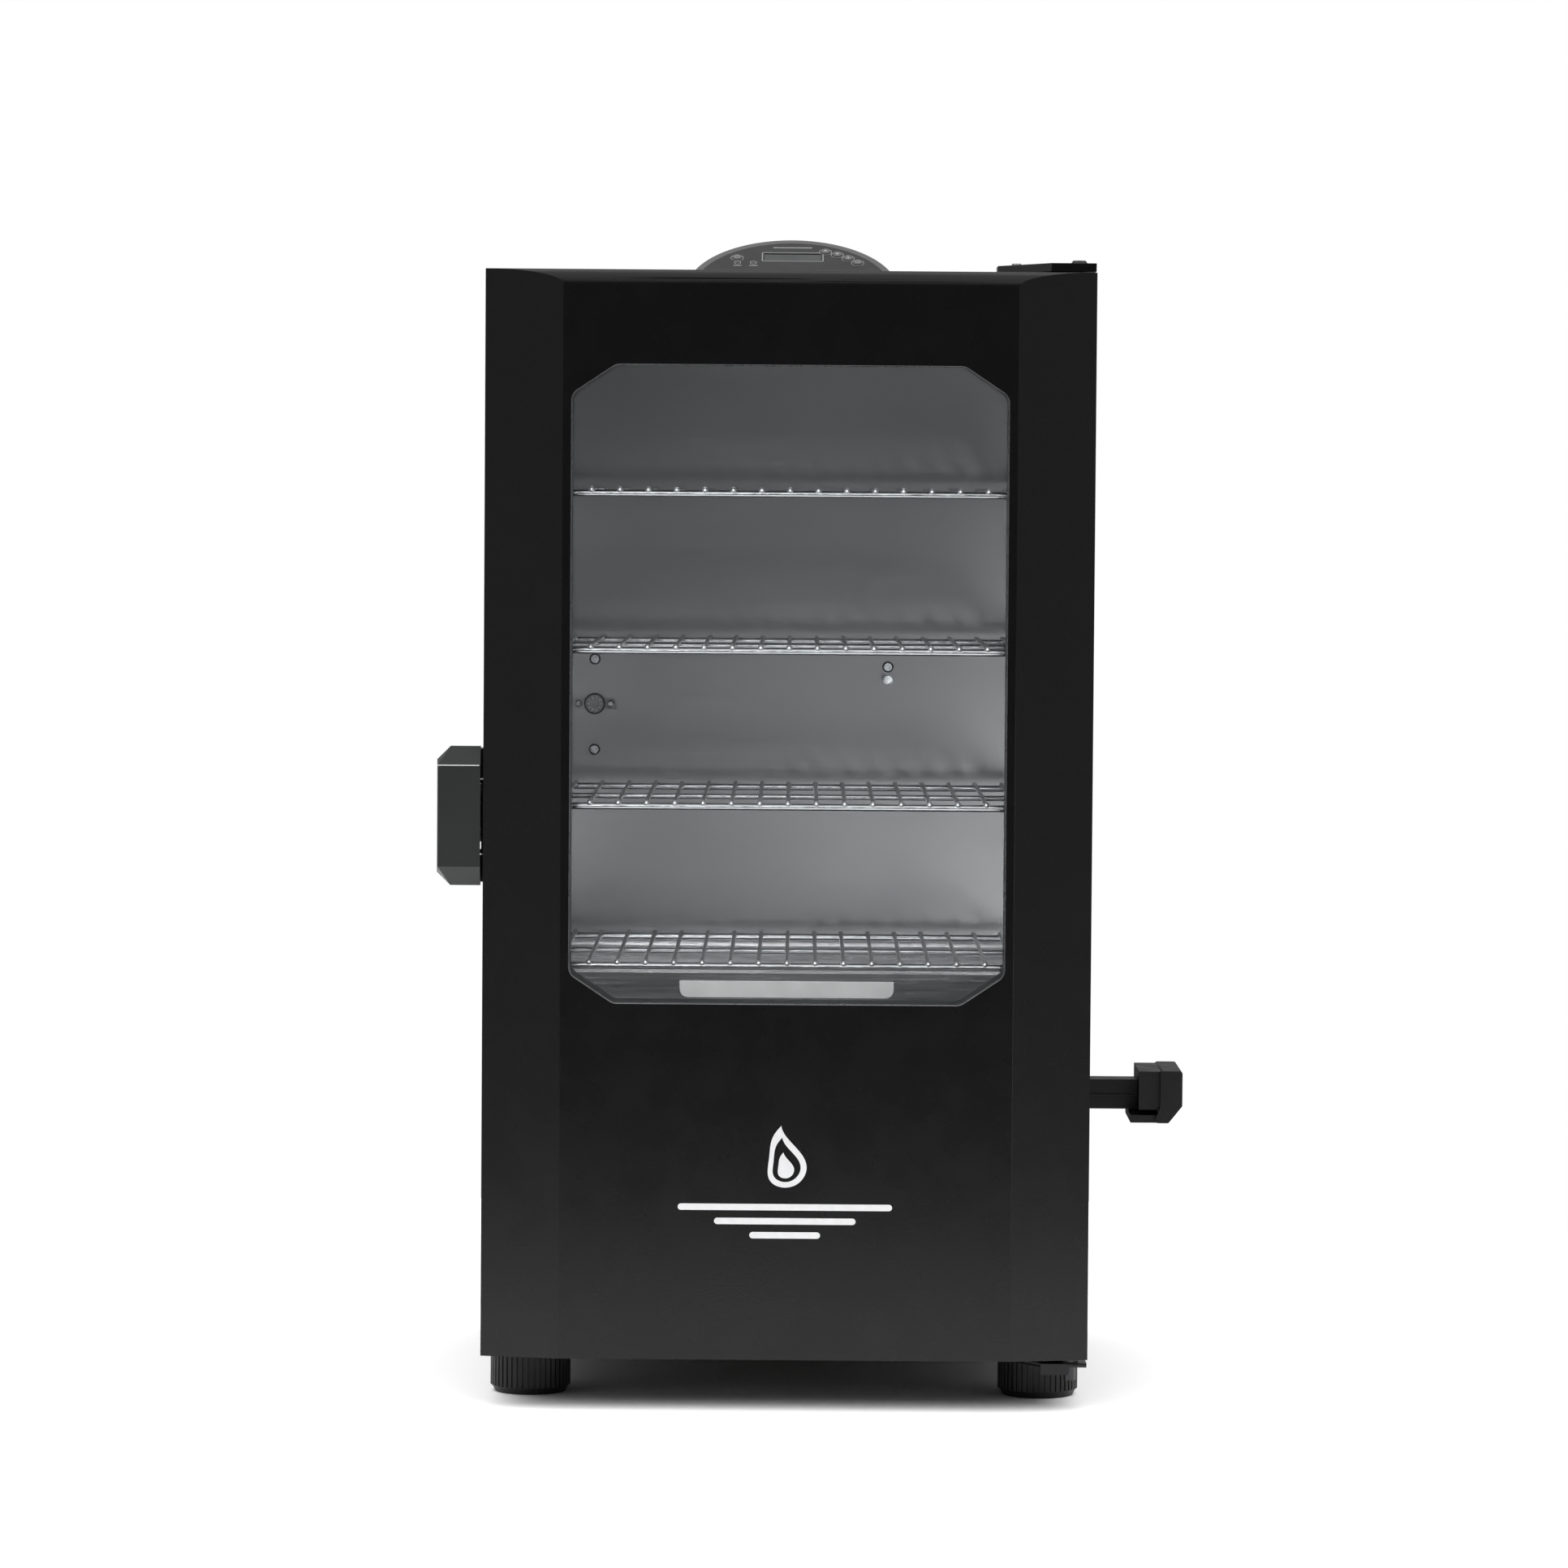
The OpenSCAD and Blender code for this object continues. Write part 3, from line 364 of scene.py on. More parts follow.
def printed_ink(name, colour):
    """Thick screen ink, a little uneven at the edges of its strokes."""
    material, tree, shader = new_finish(name)
    mottled(tree, shader, colour, size=160.0, swing=0.03)
    worn_gloss(tree, shader, size=500.0, low=0.42, high=0.55)
    relief(tree, shader, grain(tree, even(1200.0)), depth=0.05 * MM, strength=0.4)
    return material


def finish_for(slot):
    """The material for one of the record's slots, made once."""
    name = f"smoker_{slot}"
    if name in bpy.data.materials:
        return bpy.data.materials[name]
    c = coatings()
    coat_roughness = c.coat_roughness
    makers = {
        "black_coat": lambda: powder_coat(name, c.coat_colour, coat_roughness),
        "latch_coat": lambda: powder_coat(
            name, c.latch_colour, coat_roughness + 0.03, grit=900.0),
        "stainless": lambda: brushed_steel(
            name, c.steel_colour, (7.0, 500.0, 640.0), 0.30, 0.37),
        "pan_steel": lambda: brushed_steel(
            name, (0.68, 0.68, 0.69, 1), (14.0, 420.0, 420.0), 0.16, 0.30),
        "chrome_wire": lambda: bright_metal(name, (0.80, 0.80, 0.82, 1), 0.06, 0.16),
        "weld": lambda: bright_metal(name, (0.90, 0.90, 0.90, 1), 0.42, 0.54),
        "dark_steel": lambda: bright_metal(name, (0.055, 0.055, 0.058, 1), 0.26, 0.40),
        "worn_steel": lambda: bright_metal(name, (0.24, 0.24, 0.25, 1), 0.22, 0.36),
        "zinc": lambda: bright_metal(name, (0.55, 0.55, 0.56, 1), 0.18, 0.32),
        "element_metal": lambda: powder_coat(name, (0.030, 0.024, 0.020, 1), 0.62),
        "mineral_wool": lambda: mineral_wool(name),
        "window_glass": lambda: window_glass(name),
        "black_plastic": lambda: moulded_plastic(name, c.plastic_colour, 0.40, 0.52),
        "housing_plastic": lambda: moulded_plastic(name, (0.13, 0.13, 0.132, 1), 0.34, 0.44),
        "face_film": lambda: moulded_plastic(
            name, (0.016, 0.016, 0.017, 1), 0.34, 0.42, grit=2200.0, depth=0.02 * MM),
        "key_plastic": lambda: moulded_plastic(
            name, (0.13, 0.13, 0.133, 1), 0.28, 0.38, grit=2200.0, depth=0.02 * MM),
        "display_lens": lambda: moulded_plastic(
            name, (0.016, 0.019, 0.021, 1), 0.10, 0.16, grit=2600.0,
            depth=0.004 * MM),
        "board_green": lambda: circuit_board(name),
        "seal_rubber": lambda: moulded_plastic(
            name, (0.016, 0.016, 0.016, 1), 0.62, 0.78, grit=800.0, depth=0.12 * MM),
        "bush_brass": lambda: bright_metal(name, (0.72, 0.52, 0.22, 1), 0.22, 0.36),
        "ink": lambda: printed_ink(name, c.ink_colour),
        "grey_ink": lambda: printed_ink(name, (0.42, 0.42, 0.43, 1)),
    }
    if slot not in makers:
        raise ValueError(f"no finish is made for slot {slot}")
    return makers[slot]()


# ---- Mesh helpers ----


def add_piece(name, form, slot, body, finish=None, sharp=35.0):
    """Makes an object of a bmesh, gives it its finish and lets it ride on a body."""
    bmesh.ops.recalc_face_normals(form, faces=form.faces)
    mesh = bpy.data.meshes.new(name)
    form.to_mesh(mesh)
    form.free()
    mesh.shade_smooth()
    mesh.set_sharp_from_angle(angle=math.radians(sharp))
    for face in mesh.polygons:
        face.use_smooth = face_width(face) < FLAT_WIDTH
    mesh.materials.append(finish_for(finish or slot))
    piece = bpy.data.objects.new(name, mesh)
    bpy.context.scene.collection.objects.link(piece)
    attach(piece, body)
    return piece


def joined(form, other):
    """Adds the other bmesh to form, and frees it."""
    scratch = bpy.data.meshes.new("scratch")
    other.to_mesh(scratch)
    other.free()
    form.from_mesh(scratch)
    bpy.data.meshes.remove(scratch)


def moved(form, matrix):
    bmesh.ops.transform(form, matrix=matrix, verts=form.verts)
    return form


def shifted(form, x, y):
    return moved(form, Matrix.Translation((x, y, 0)))


def upright(form):
    """Turns a form that lies along X, so that it lies along Y."""
    return moved(form, Matrix.Rotation(math.pi / 2, 4, "Z"))


def turned(spot, angle, axis="X"):
    """A place with its axes turned."""
    return Matrix.Translation(spot) @ Matrix.Rotation(angle, 4, axis)


def extruded(form):
    """Extrudes every face in place; the vertices that are free to move."""
    result = bmesh.ops.extrude_face_region(form, geom=form.faces[:])
    return [v for v in result["geom"] if isinstance(v, bmesh.types.BMVert)]


def raised(form, thickness):
    """Gives faces that lie in X and Y a thickness along Z."""
    bmesh.ops.translate(form, verts=extruded(form), vec=(0, 0, thickness))
    bmesh.ops.recalc_face_normals(form, faces=form.faces)
    return form


def bar(length, width, thickness, segments=5):
    """A flat bar with round ends, lying in X and Y."""
    form = bmesh.new()
    bmesh.ops.create_grid(form, x_segments=1, y_segments=1, size=0.5)
    bmesh.ops.scale(form, verts=form.verts, vec=(length, width, 1))
    bmesh.ops.bevel(form, geom=form.verts[:], affect="VERTICES", offset=width * 0.49,
                    segments=segments, profile=0.5, material=-1)
    return raised(form, thickness)


def ring(radius, width, thickness, segments=32):
    """A flat round ring, lying in X and Y."""
    form = bmesh.new()
    outer = bmesh.ops.create_circle(form, segments=segments, radius=radius)
    inner = bmesh.ops.create_circle(form, segments=segments, radius=radius - width)
    edges = {e for part in (outer, inner) for v in part["verts"] for e in v.link_edges}
    bmesh.ops.bridge_loops(form, edges=list(edges))
    return raised(form, thickness)


def disc(radius, thickness, segments=24):
    """A flat round disc, lying in X and Y."""
    form = bmesh.new()
    bmesh.ops.create_circle(form, segments=segments, radius=radius, cap_ends=True)
    return raised(form, thickness)


def arrow(size, thickness):
    """A flat triangle that points along Y."""
    form = bmesh.new()
    bmesh.ops.create_circle(form, segments=3, radius=size, cap_ends=True)
    return raised(form, thickness)


def on_door(x, z):
    """The place that stands a form lying in X and Y up against the door's front."""
    return turned((x, DOOR_FRONT, z), math.pi / 2)


# ---- Pressed edges ----

# Each node's broad edge radius and fine edge radius, in millimetres
EDGES = {
    "hinge_bracket_top": (0.9, 0.3),
    "hinge_bracket_bottom": (0.7, 0.3),
    "latch_lever": (0.8, 0.3),
    "latch_bracket": (0.5, 0.3),
    "latch_strike": (0.5, 0.3),
    "loader_handle": (1.6, 0.4),
    "controller_housing": (1.2, 0.3),
    "wiring_cover": (1.2, 0.2),
    "grease_tray": (0.6, 0.2),
    "door_seal": (2.3, 2.3),
    "damper_disc": (0.4, 0.4),
    "chip_tray": (0.4, 0.2),
}
FOLD_LEAST, FOLD_MOST = 5.0, 20.0    # degrees between a soft fold's two faces
FLAT_WIDTH = 4 * MM                  # wider faces are shaded flat
ROOM = 2.5                           # an edge's faces are at least this many radii wide


def merged_copy(node):
    """A copy of a CAD node's mesh, merged and with its flat faces made whole."""
    form = bmesh.new()
    form.from_mesh(frame["nodes"][node].data)
    bmesh.ops.remove_doubles(form, verts=form.verts, dist=0.004 * MM)
    bmesh.ops.dissolve_limit(form, angle_limit=math.radians(0.4), verts=form.verts,
                             edges=form.edges, use_dissolve_boundaries=False)
    return form


def edge_angle(edge):
    return math.degrees(edge.calc_face_angle(0.0)) if len(edge.link_faces) == 2 else 0.0


def narrowest(edge):
    """The width of the narrower of an edge's two faces."""
    length = max(edge.calc_length(), 1e-9)
    return min(face.calc_area() for face in edge.link_faces) / length


def soften(form, edges, radius, segments):
    if edges:
        bmesh.ops.bevel(form, geom=edges, affect="EDGES", offset=radius, segments=segments,
                        profile=0.5, clamp_overlap=True, material=-1)


def pressed(node, broad, fine, fold=0.0):
    """A copy of a CAD node whose edges are rounded as bent or moulded edges are."""
    source = frame["nodes"][node]
    form = merged_copy(node)
    if fold:
        folds = [e for e in form.edges if FOLD_LEAST < edge_angle(e) < FOLD_MOST
                 and narrowest(e) > ROOM * fold]
        soften(form, folds, fold, 5)
    wide = [e for e in form.edges if edge_angle(e) > 30 and narrowest(e) > ROOM * broad]
    soften(form, wide, broad, 3)
    if fine < broad:
        small = [e for e in form.edges if edge_angle(e) > 40 and narrowest(e) > ROOM * fine]
        soften(form, small, fine, 2)
    piece = add_piece(f"{node}_pressed", form, NODE_SLOT[node], source["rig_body"],
                      sharp=50.0)
    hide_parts(node)
    return piece


def face_width(face):
    """Roughly how wide a mesh face is across its longest side."""
    mesh = face.id_data
    corners = [mesh.vertices[i].co for i in face.vertices]
    longest = max((a - b).length for a, b in zip(corners, corners[1:] + corners[:1]))
    return face.area / max(longest, 1e-9)


NODE_SLOT = {part["node"]: part["material_slot"] for part in frame["record"]["subparts"]}

# Hardware that has gone darker than its slot's own metal
DARKER = {"hinge_pins": "dark_steel", "cabinet_screws": "worn_steel"}


class SMOKER_OT_frame_finishes(Operator):
    """Gives every CAD node the finish of its slot"""

    bl_idname = "smoker.frame_finishes"
    bl_label = "Finish the frame"

    def execute(self, context):
        for node, obj in frame["nodes"].items():
            material = finish_for(DARKER.get(node, NODE_SLOT[node]))
            obj.data.materials.clear()
            obj.data.materials.append(material)
        return {"FINISHED"}


class SMOKER_OT_door_skin(Operator):
    """Makes the door's pressed steel skin with its hems and soft folds"""

    bl_idname = "smoker.door_skin"
    bl_label = "Door skin"

    def execute(self, context):
        d = details()
        pressed("door_skin", d.hem_radius, 0.2 * MM, d.fold_radius)
        return {"FINISHED"}


class SMOKER_OT_pressed_edges(Operator):
    """Makes the brackets, latch, grip, covers and trays with rounded edges"""

    bl_idname = "smoker.pressed_edges"
    bl_label = "Pressed and moulded pieces"

    def execute(self, context):
        for node, (broad, fine) in EDGES.items():
            pressed(node, broad * MM, fine * MM)
        return {"FINISHED"}


# ---- Door ----

PANE_LAP = 5 * MM                    # how far the pane goes behind the skin
WINDOW_CUT_X = 31.5 * MM             # the cut corners, along each side
WINDOW_CUT_Z = 21 * MM
WINDOW_BLEND = 8.5 * MM              # radius where a cut meets a side
BEAD_LAP = 0.15 * MM
BEAD_PROUD = 0.25 * MM
BEAD_ROUND = 0.22 * MM
DOOR_INK = 0.12 * MM
RULE_SHARES = (1.0, 0.66, 0.33)
RULE_WIDTH = 4.6 * MM
RULE_PITCH = 10 * MM
FLAME_TO_RULES = 36 * MM


def window_outline(grow):
    """The window's outline as one flat face in X and Z, with its corners blended."""
    half_w = (PANE_HIGH.x - PANE_LOW.x) / 2 - PANE_LAP + grow
    half_h = (PANE_HIGH.z - PANE_LOW.z) / 2 - PANE_LAP + grow
    cut = math.atan2(WINDOW_CUT_Z, WINDOW_CUT_X)
    cut_x = WINDOW_CUT_X + grow * (1 - math.tan(cut / 2))
    cut_z = WINDOW_CUT_Z + grow * (1 - math.tan(math.pi / 4 - cut / 2))
    quarter = [(half_w, half_h - cut_z), (half_w - cut_x, half_h)]
    points = []
    for sx, sz in ((1, 1), (-1, 1), (-1, -1), (1, -1)):
        corner = [(sx * x, sz * z) for x, z in quarter]
        points += corner if sx * sz > 0 else corner[::-1]
    form = bmesh.new()
    middle = (PANE_LOW + PANE_HIGH) / 2
    corners = [form.verts.new((middle.x + x, 0, middle.z + z)) for x, z in points]
    form.faces.new(corners)
    beside = [v for v in corners if abs(abs(v.co.x - middle.x) - half_w) < 1e-6]
    above = [v for v in corners if v not in beside]
    for group, turn in ((beside, math.pi / 2 - cut), (above, cut)):
        bmesh.ops.bevel(form, geom=group, affect="VERTICES", segments=6, profile=0.5,
                        offset=WINDOW_BLEND * math.tan(turn / 2), material=-1)
    return form


class SMOKER_OT_window_bead(Operator):
    """Makes the thin steel bead round the window opening"""

    bl_idname = "smoker.window_bead"
    bl_label = "Window bead"

    def execute(self, context):
        width = details().bead_width
        form = window_outline(BEAD_LAP)
        bmesh.ops.recalc_face_normals(form, faces=form.faces)
        bmesh.ops.inset_region(form, faces=form.faces[:], thickness=width,
                               use_boundary=True, use_even_offset=True)
        inner = max(form.faces, key=lambda f: f.calc_area())
        bmesh.ops.delete(form, geom=[inner], context="FACES")
        bmesh.ops.translate(form, verts=form.verts, vec=(0, DOOR_FRONT - BEAD_PROUD, 0))
        bmesh.ops.translate(form, verts=extruded(form), vec=(0, PANE_LOW.y - DOOR_FRONT, 0))
        soften(form, [e for e in form.edges if edge_angle(e) > 60], BEAD_ROUND, 2)
        add_piece("window_bead", form, "zinc", "door", finish="worn_steel")
        return {"FINISHED"}


def tongue(size, low, sway):
    """The outline of one tongue of flame: a function from a turn to a place."""

    def place(turn):
        rise = (math.cos(turn) + 1) / 2
        pinch = abs(math.sin(turn / 2)) ** 1.3
        lean = sway * math.sin(1.8 * math.pi * rise) * rise
        x = size * 0.86 * math.sin(turn) * pinch + lean
        return Vector((x, low + 2 * size * rise - 1, 0))

    return place


def loop_on(form, place, segments=56):
    """A loop of vertices laid along the outline that place gives."""
    loop = bmesh.ops.create_circle(form, segments=segments, radius=1.0)["verts"]
    for v in loop:
        v.co = place(math.atan2(v.co.x, v.co.y))
    return loop


def flame(height, thickness):
    """A flat flame: an open outline that sways to its tip, with a small tongue inside."""
    form = bmesh.new()
    loops = [loop_on(form, tongue(1.0, 0.0, 0.22)), loop_on(form, tongue(0.72, 0.18, 0.16))]
    edges = {e for loop in loops for v in loop for e in v.link_edges}
    bmesh.ops.bridge_loops(form, edges=list(edges))
    core = bmesh.new()
    loop = loop_on(core, tongue(0.42, 0.30, 0.09))
    bmesh.ops.contextual_create(core, geom=loop)
    joined(form, core)
    bmesh.ops.scale(form, verts=form.verts, vec=(height / 2, height / 2, 1))
    return raised(form, thickness)


class SMOKER_OT_door_mark(Operator):
    """Prints a plain flame and three rules on the door's lower panel"""

    bl_idname = "smoker.door_mark"
    bl_label = "Door mark"

    def execute(self, context):
        d = details()
        middle_x = (DOOR_LOW.x + DOOR_HIGH.x) / 2
        form = flame(d.mark_height, DOOR_INK)
        moved(form, on_door(middle_x, d.mark_rise))
        for row, share in enumerate(RULE_SHARES):
            z = d.mark_rise - FLAME_TO_RULES - row * RULE_PITCH
            rule = bar(d.rule_length * share, RULE_WIDTH, DOOR_INK)
            joined(form, moved(rule, on_door(middle_x, z)))
        add_piece("door_mark", form, "black_coat", "door", finish="ink")
        return {"FINISHED"}


# ---- Controller ----

FACE_TILT = math.radians(30)
FACE_RADIUS = 74.9 * MM
KEY_RING = 66 * MM
KEY_TURNS = {"power": 130.0, "up": 67.7, "down": 58.9, "heat": 50.1, "time": 41.3}
KEY_PROUD = 1.2 * MM
DISPLAY_UP = 52.5 * MM
DISPLAY_W = 43.5 * MM
DISPLAY_H = 11 * MM
DISPLAY_RIM = 1.4 * MM
FACE_INK = 0.1 * MM
KEY_INK = 0.08 * MM
LAMP_XS = (-42 * MM, -30 * MM)
LAMP_UP = 43 * MM
LAMP_MARK_UP = 38.2 * MM
TOP_BAR_UP = 67.5 * MM


def key_spot(degrees, proud=0.0):
    """Where a key's middle is on the face."""
    turn = math.radians(degrees)
    return Matrix.Translation((KEY_RING * math.cos(turn), KEY_RING * math.sin(turn), proud))


def face_matrix():
    """Axes on the sloped face: Z out of it, Y up the slope, the origin at its middle."""
    out = Vector((0, -math.sin(FACE_TILT), math.cos(FACE_TILT)))
    up = Vector((0, math.cos(FACE_TILT), math.sin(FACE_TILT)))
    points = [v.co for v in frame["nodes"]["controller_face"].data.vertices]
    level = max(p.dot(out) for p in points)
    top = max(p.dot(up) for p in points)
    origin = Vector((MIDDLE_X, 0, 0)) + out * level + up * (top - FACE_RADIUS)
    return Matrix.Translation(origin) @ Matrix.Rotation(FACE_TILT, 4, "X")


class SMOKER_OT_controller_print_and_key_highlights(Operator):
    """Prints the display's border, a plain bar, the lamps' marks and a painted highlight ring
    round each key on the face
    """

    bl_idname = "smoker.controller_print"
    bl_label = "Controller print"

    def execute(self, context):
        ink = FACE_INK
        line = 0.7 * MM
        form = bmesh.new()
        half = Vector((DISPLAY_W / 2 + DISPLAY_RIM, DISPLAY_H / 2 + DISPLAY_RIM))
        for side in (-1, 1):
            rail = bar(2 * half.x, line, ink)
            joined(form, shifted(rail, 0, DISPLAY_UP + side * half.y))
            post = upright(bar(2 * half.y, line, ink))
            joined(form, shifted(post, side * half.x, DISPLAY_UP))
        for x in LAMP_XS:
            joined(form, shifted(ring(2.6 * MM, 0.5 * MM, ink), x, LAMP_UP))
            joined(form, shifted(bar(6.5 * MM, 0.9 * MM, ink), x, LAMP_MARK_UP))
        # A grey ring printed round each key stands in for the light on the key's rim: a
        # painted highlight.
        for degrees in KEY_TURNS.values():
            joined(form, moved(ring(4.9 * MM, 0.5 * MM, ink), key_spot(degrees)))
        joined(form, shifted(bar(30 * MM, 1.3 * MM, ink), 0, TOP_BAR_UP))
        add_piece("controller_print", moved(form, face_matrix()), "face_film", "cabinet",
                  finish="grey_ink")
        return {"FINISHED"}


def key_symbol(kind):
    """A plain symbol for a key: a switch, an arrow, a bulb or a clock."""
    ink = KEY_INK
    form = bmesh.new()
    if kind == "power":
        joined(form, ring(2.0 * MM, 0.45 * MM, ink))
        joined(form, shifted(upright(bar(2.0 * MM, 0.5 * MM, ink)), 0, 1.7 * MM))
    elif kind in ("up", "down"):
        turn = 0 if kind == "up" else math.pi
        joined(form, moved(arrow(2.1 * MM, ink), Matrix.Rotation(turn, 4, "Z")))
    elif kind == "heat":
        joined(form, shifted(disc(1.2 * MM, ink), 0, -1.2 * MM))
        joined(form, shifted(upright(bar(3.2 * MM, 0.8 * MM, ink)), 0, 0.8 * MM))
    else:
        joined(form, ring(2.1 * MM, 0.45 * MM, ink))
        joined(form, shifted(bar(1.3 * MM, 0.4 * MM, ink), 0.6 * MM, 0))
        joined(form, shifted(upright(bar(1.5 * MM, 0.4 * MM, ink)), 0, 0.6 * MM))
    return form


class SMOKER_OT_key_symbols(Operator):
    """Prints a plain symbol on each key"""

    bl_idname = "smoker.key_symbols"
    bl_label = "Key symbols"

    def execute(self, context):
        axes = face_matrix()
        bodies = ("key_power", "key_1", "key_2", "key_3", "key_4")
        for body, (kind, degrees) in zip(bodies, KEY_TURNS.items()):
            form = moved(key_symbol(kind), axes @ key_spot(degrees, KEY_PROUD))
            add_piece(f"symbol_{kind}", form, "key_plastic", body, finish="grey_ink")
        return {"FINISHED"}


# ---- Racks, casing and rear ----

WELD_EDGE = 18.5 * MM                # from a rack's side to its first wire
WELD_INSET = 1.2 * MM
WELD_DROP = 2.4 * MM
GRIP_WIDTH, GRIP_DROP, GRIP_SHEET = 154 * MM, 12 * MM, 0.5 * MM
GRIP_CORNER = 6 * MM
GRIP_BELOW = 5.5 * MM                # from the pan's rim to the grip
LATCH_BEVEL = 13.5 * MM
PADDLE = 30 * MM
CHEEK = (3.2 * MM, 20 * MM)
DIMPLES = 10
SCREW_INSET = 9 * MM
SCREW_SHARES = (0.04, 0.27, 0.5, 0.73, 0.96)
LOUVRE_RADIUS, LOUVRE_LENGTH, LOUVRE_PITCH = 3 * MM, 60 * MM, 9 * MM
LOUVRES_BELOW = 18 * MM              # from the cover's top to the first louvre
SEAM = (1.6 * MM, 9 * MM)


class SMOKER_OT_rack_welds(Operator):
    """Makes the bright welds where each rack's wires end on its front and rear rails"""

    bl_idname = "smoker.rack_welds"
    bl_label = "Rack welds"

    def execute(self, context):
        d = details()
        for shelf in range(1, 5):
            low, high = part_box(f"rack_{shelf}")
            first, last = low.x + WELD_EDGE, high.x - WELD_EDGE
            form = bmesh.new()
            for i in range(d.rack_wires):
                x = first + (last - first) * i / (d.rack_wires - 1)
                for y in (low.y + WELD_INSET, high.y - WELD_INSET):
                    weld = bmesh.ops.create_icosphere(form, subdivisions=2,
                                                      radius=d.weld_radius)
                    bmesh.ops.scale(form, verts=weld["verts"], vec=(0.85, 1.0, 0.85))
                    bmesh.ops.translate(form, verts=weld["verts"],
                                        vec=(x, y, high.z - WELD_DROP))
            add_piece(f"rack_{shelf}_welds", form, "chrome_wire", f"shelf_{shelf}",
                      finish="weld")
        return {"FINISHED"}


def pan_screw(radius):
    """A pan-head screw's head with a round recess, standing on the origin along Z."""
    form = bmesh.new()
    bmesh.ops.create_cone(form, cap_ends=True, segments=20, radius1=radius,
                          radius2=radius * 0.72, depth=radius * 0.5)
    bmesh.ops.translate(form, verts=form.verts, vec=(0, 0, radius * 0.25))
    crown = [f for f in form.faces if f.normal.z > 0.9]
    bmesh.ops.inset_region(form, faces=crown, thickness=radius * 0.34)
    bmesh.ops.translate(form, verts=crown[0].verts, vec=(0, 0, -radius * 0.22))
    return form


class SMOKER_OT_pan_grip(Operator):
    """Makes the folded grip on the front of the water pan"""

    bl_idname = "smoker.pan_grip"
    bl_label = "Pan grip"

    def execute(self, context):
        low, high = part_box("water_pan")
        form = bmesh.new()
        bmesh.ops.create_grid(form, x_segments=1, y_segments=1, size=0.5)
        bmesh.ops.scale(form, verts=form.verts, vec=(GRIP_WIDTH, GRIP_DROP, 1))
        lower = [v for v in form.verts if v.co.y < 0]
        bmesh.ops.bevel(form, geom=lower, affect="VERTICES", offset=GRIP_CORNER,
                        segments=6, profile=0.5, material=-1)
        raised(form, GRIP_SHEET)
        soften(form, [e for e in form.edges if edge_angle(e) > 60], 0.15 * MM, 2)
        spot = ((low.x + high.x) / 2, low.y, high.z - GRIP_DROP / 2 - GRIP_BELOW)
        moved(form, turned(spot, math.pi / 2))
        add_piece("pan_grip", form, "pan_steel", "water_bowl", finish="weld")
        return {"FINISHED"}


class SMOKER_OT_latch_painted_highlight(Operator):
    """Makes a painted highlight, a white line on the latch paddle's upper fold, and the
    bracket's cheeks
    """

    bl_idname = "smoker.latch_edge"
    bl_label = "Latch edge"

    def execute(self, context):
        low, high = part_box("latch_lever")
        # A thin white strip along the paddle's upper fold stands in for the light caught
        # there: a painted highlight.
        form = bar(PADDLE, 0.7 * MM, 0.25 * MM)
        spot = (low.x + 0.3 * MM + PADDLE / 2, low.y - 0.02 * MM, high.z - LATCH_BEVEL)
        moved(form, turned(spot, math.radians(68)))
        add_piece("latch_edge", form, "latch_coat", "latch", finish="ink")
        self.make_cheeks()
        return {"FINISHED"}

    def make_cheeks(self):
        """Two cheeks that close the gap above and below the latch's bracket."""
        bracket_low, bracket_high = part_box("latch_bracket")
        lever_low, lever_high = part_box("latch_lever")
        form = bmesh.new()
        spans = ((lever_low.z + 2 * MM, bracket_low.z - 1 * MM),
                 (bracket_high.z + 1 * MM, lever_high.z - 2 * MM))
        for bottom, top in spans:
            cheek = bmesh.new()
            bmesh.ops.create_cube(cheek, size=1.0)
            bmesh.ops.scale(cheek, verts=cheek.verts, vec=(*CHEEK, top - bottom))
            soften(cheek, cheek.edges[:], 0.6 * MM, 2)
            spot = (DOOR_LOW.x - 1.5 * MM, bracket_high.y - CHEEK[1] / 2, (top + bottom) / 2)
            joined(form, moved(cheek, Matrix.Translation(spot)))
        add_piece("latch_cheeks", form, "black_coat", "door")


class SMOKER_OT_thermostat_face(Operator):
    """Makes the rim and the ring of dimples on the limit thermostat"""

    bl_idname = "smoker.thermostat_face"
    bl_label = "Thermostat face"

    def execute(self, context):
        low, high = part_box("limit_thermostat")
        radius = (high.z - low.z) / 2
        face = turned(((low.x + high.x) / 2, low.y, (low.z + high.z) / 2), math.pi / 2)
        rim = ring(radius * 0.98, radius * 0.12, 0.5 * MM)
        add_piece("thermostat_rim", moved(rim, face), "element_metal", "cabinet")
        form = bmesh.new()
        dimple_ring = 0.6 * radius
        for i in range(DIMPLES):
            dimple = bmesh.new()
            bmesh.ops.create_icosphere(dimple, subdivisions=2, radius=1.3 * MM)
            turn = 2 * math.pi * i / DIMPLES
            x, y = dimple_ring * math.cos(turn), dimple_ring * math.sin(turn)
            joined(form, shifted(dimple, x, y))
        add_piece("thermostat_dimples", moved(form, face), "zinc", "cabinet", finish="weld")
        return {"FINISHED"}


class SMOKER_OT_rear_screws(Operator):
    """Makes the screws that hold the back panel and the wiring cover"""

    bl_idname = "smoker.rear_screws"
    bl_label = "Rear screws"

    def execute(self, context):
        back_low, back_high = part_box("back_panel")
        cover_low, cover_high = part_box("wiring_cover")
        spots = []
        for x in (back_low.x + SCREW_INSET, back_high.x - SCREW_INSET):
            for share in SCREW_SHARES:
                z = back_low.z + (back_high.z - back_low.z) * share
                spots.append((x, back_high.y, z))
        for x in (cover_low.x + SCREW_INSET, cover_high.x - SCREW_INSET):
            for z in (cover_low.z + SCREW_INSET, cover_high.z - SCREW_INSET):
                spots.append((x, cover_high.y, z))
        form = bmesh.new()
        for spot in spots:
            joined(form, moved(pan_screw(3.6 * MM), turned(spot, -math.pi / 2)))
        add_piece("rear_screws", form, "zinc", "cabinet")
        return {"FINISHED"}


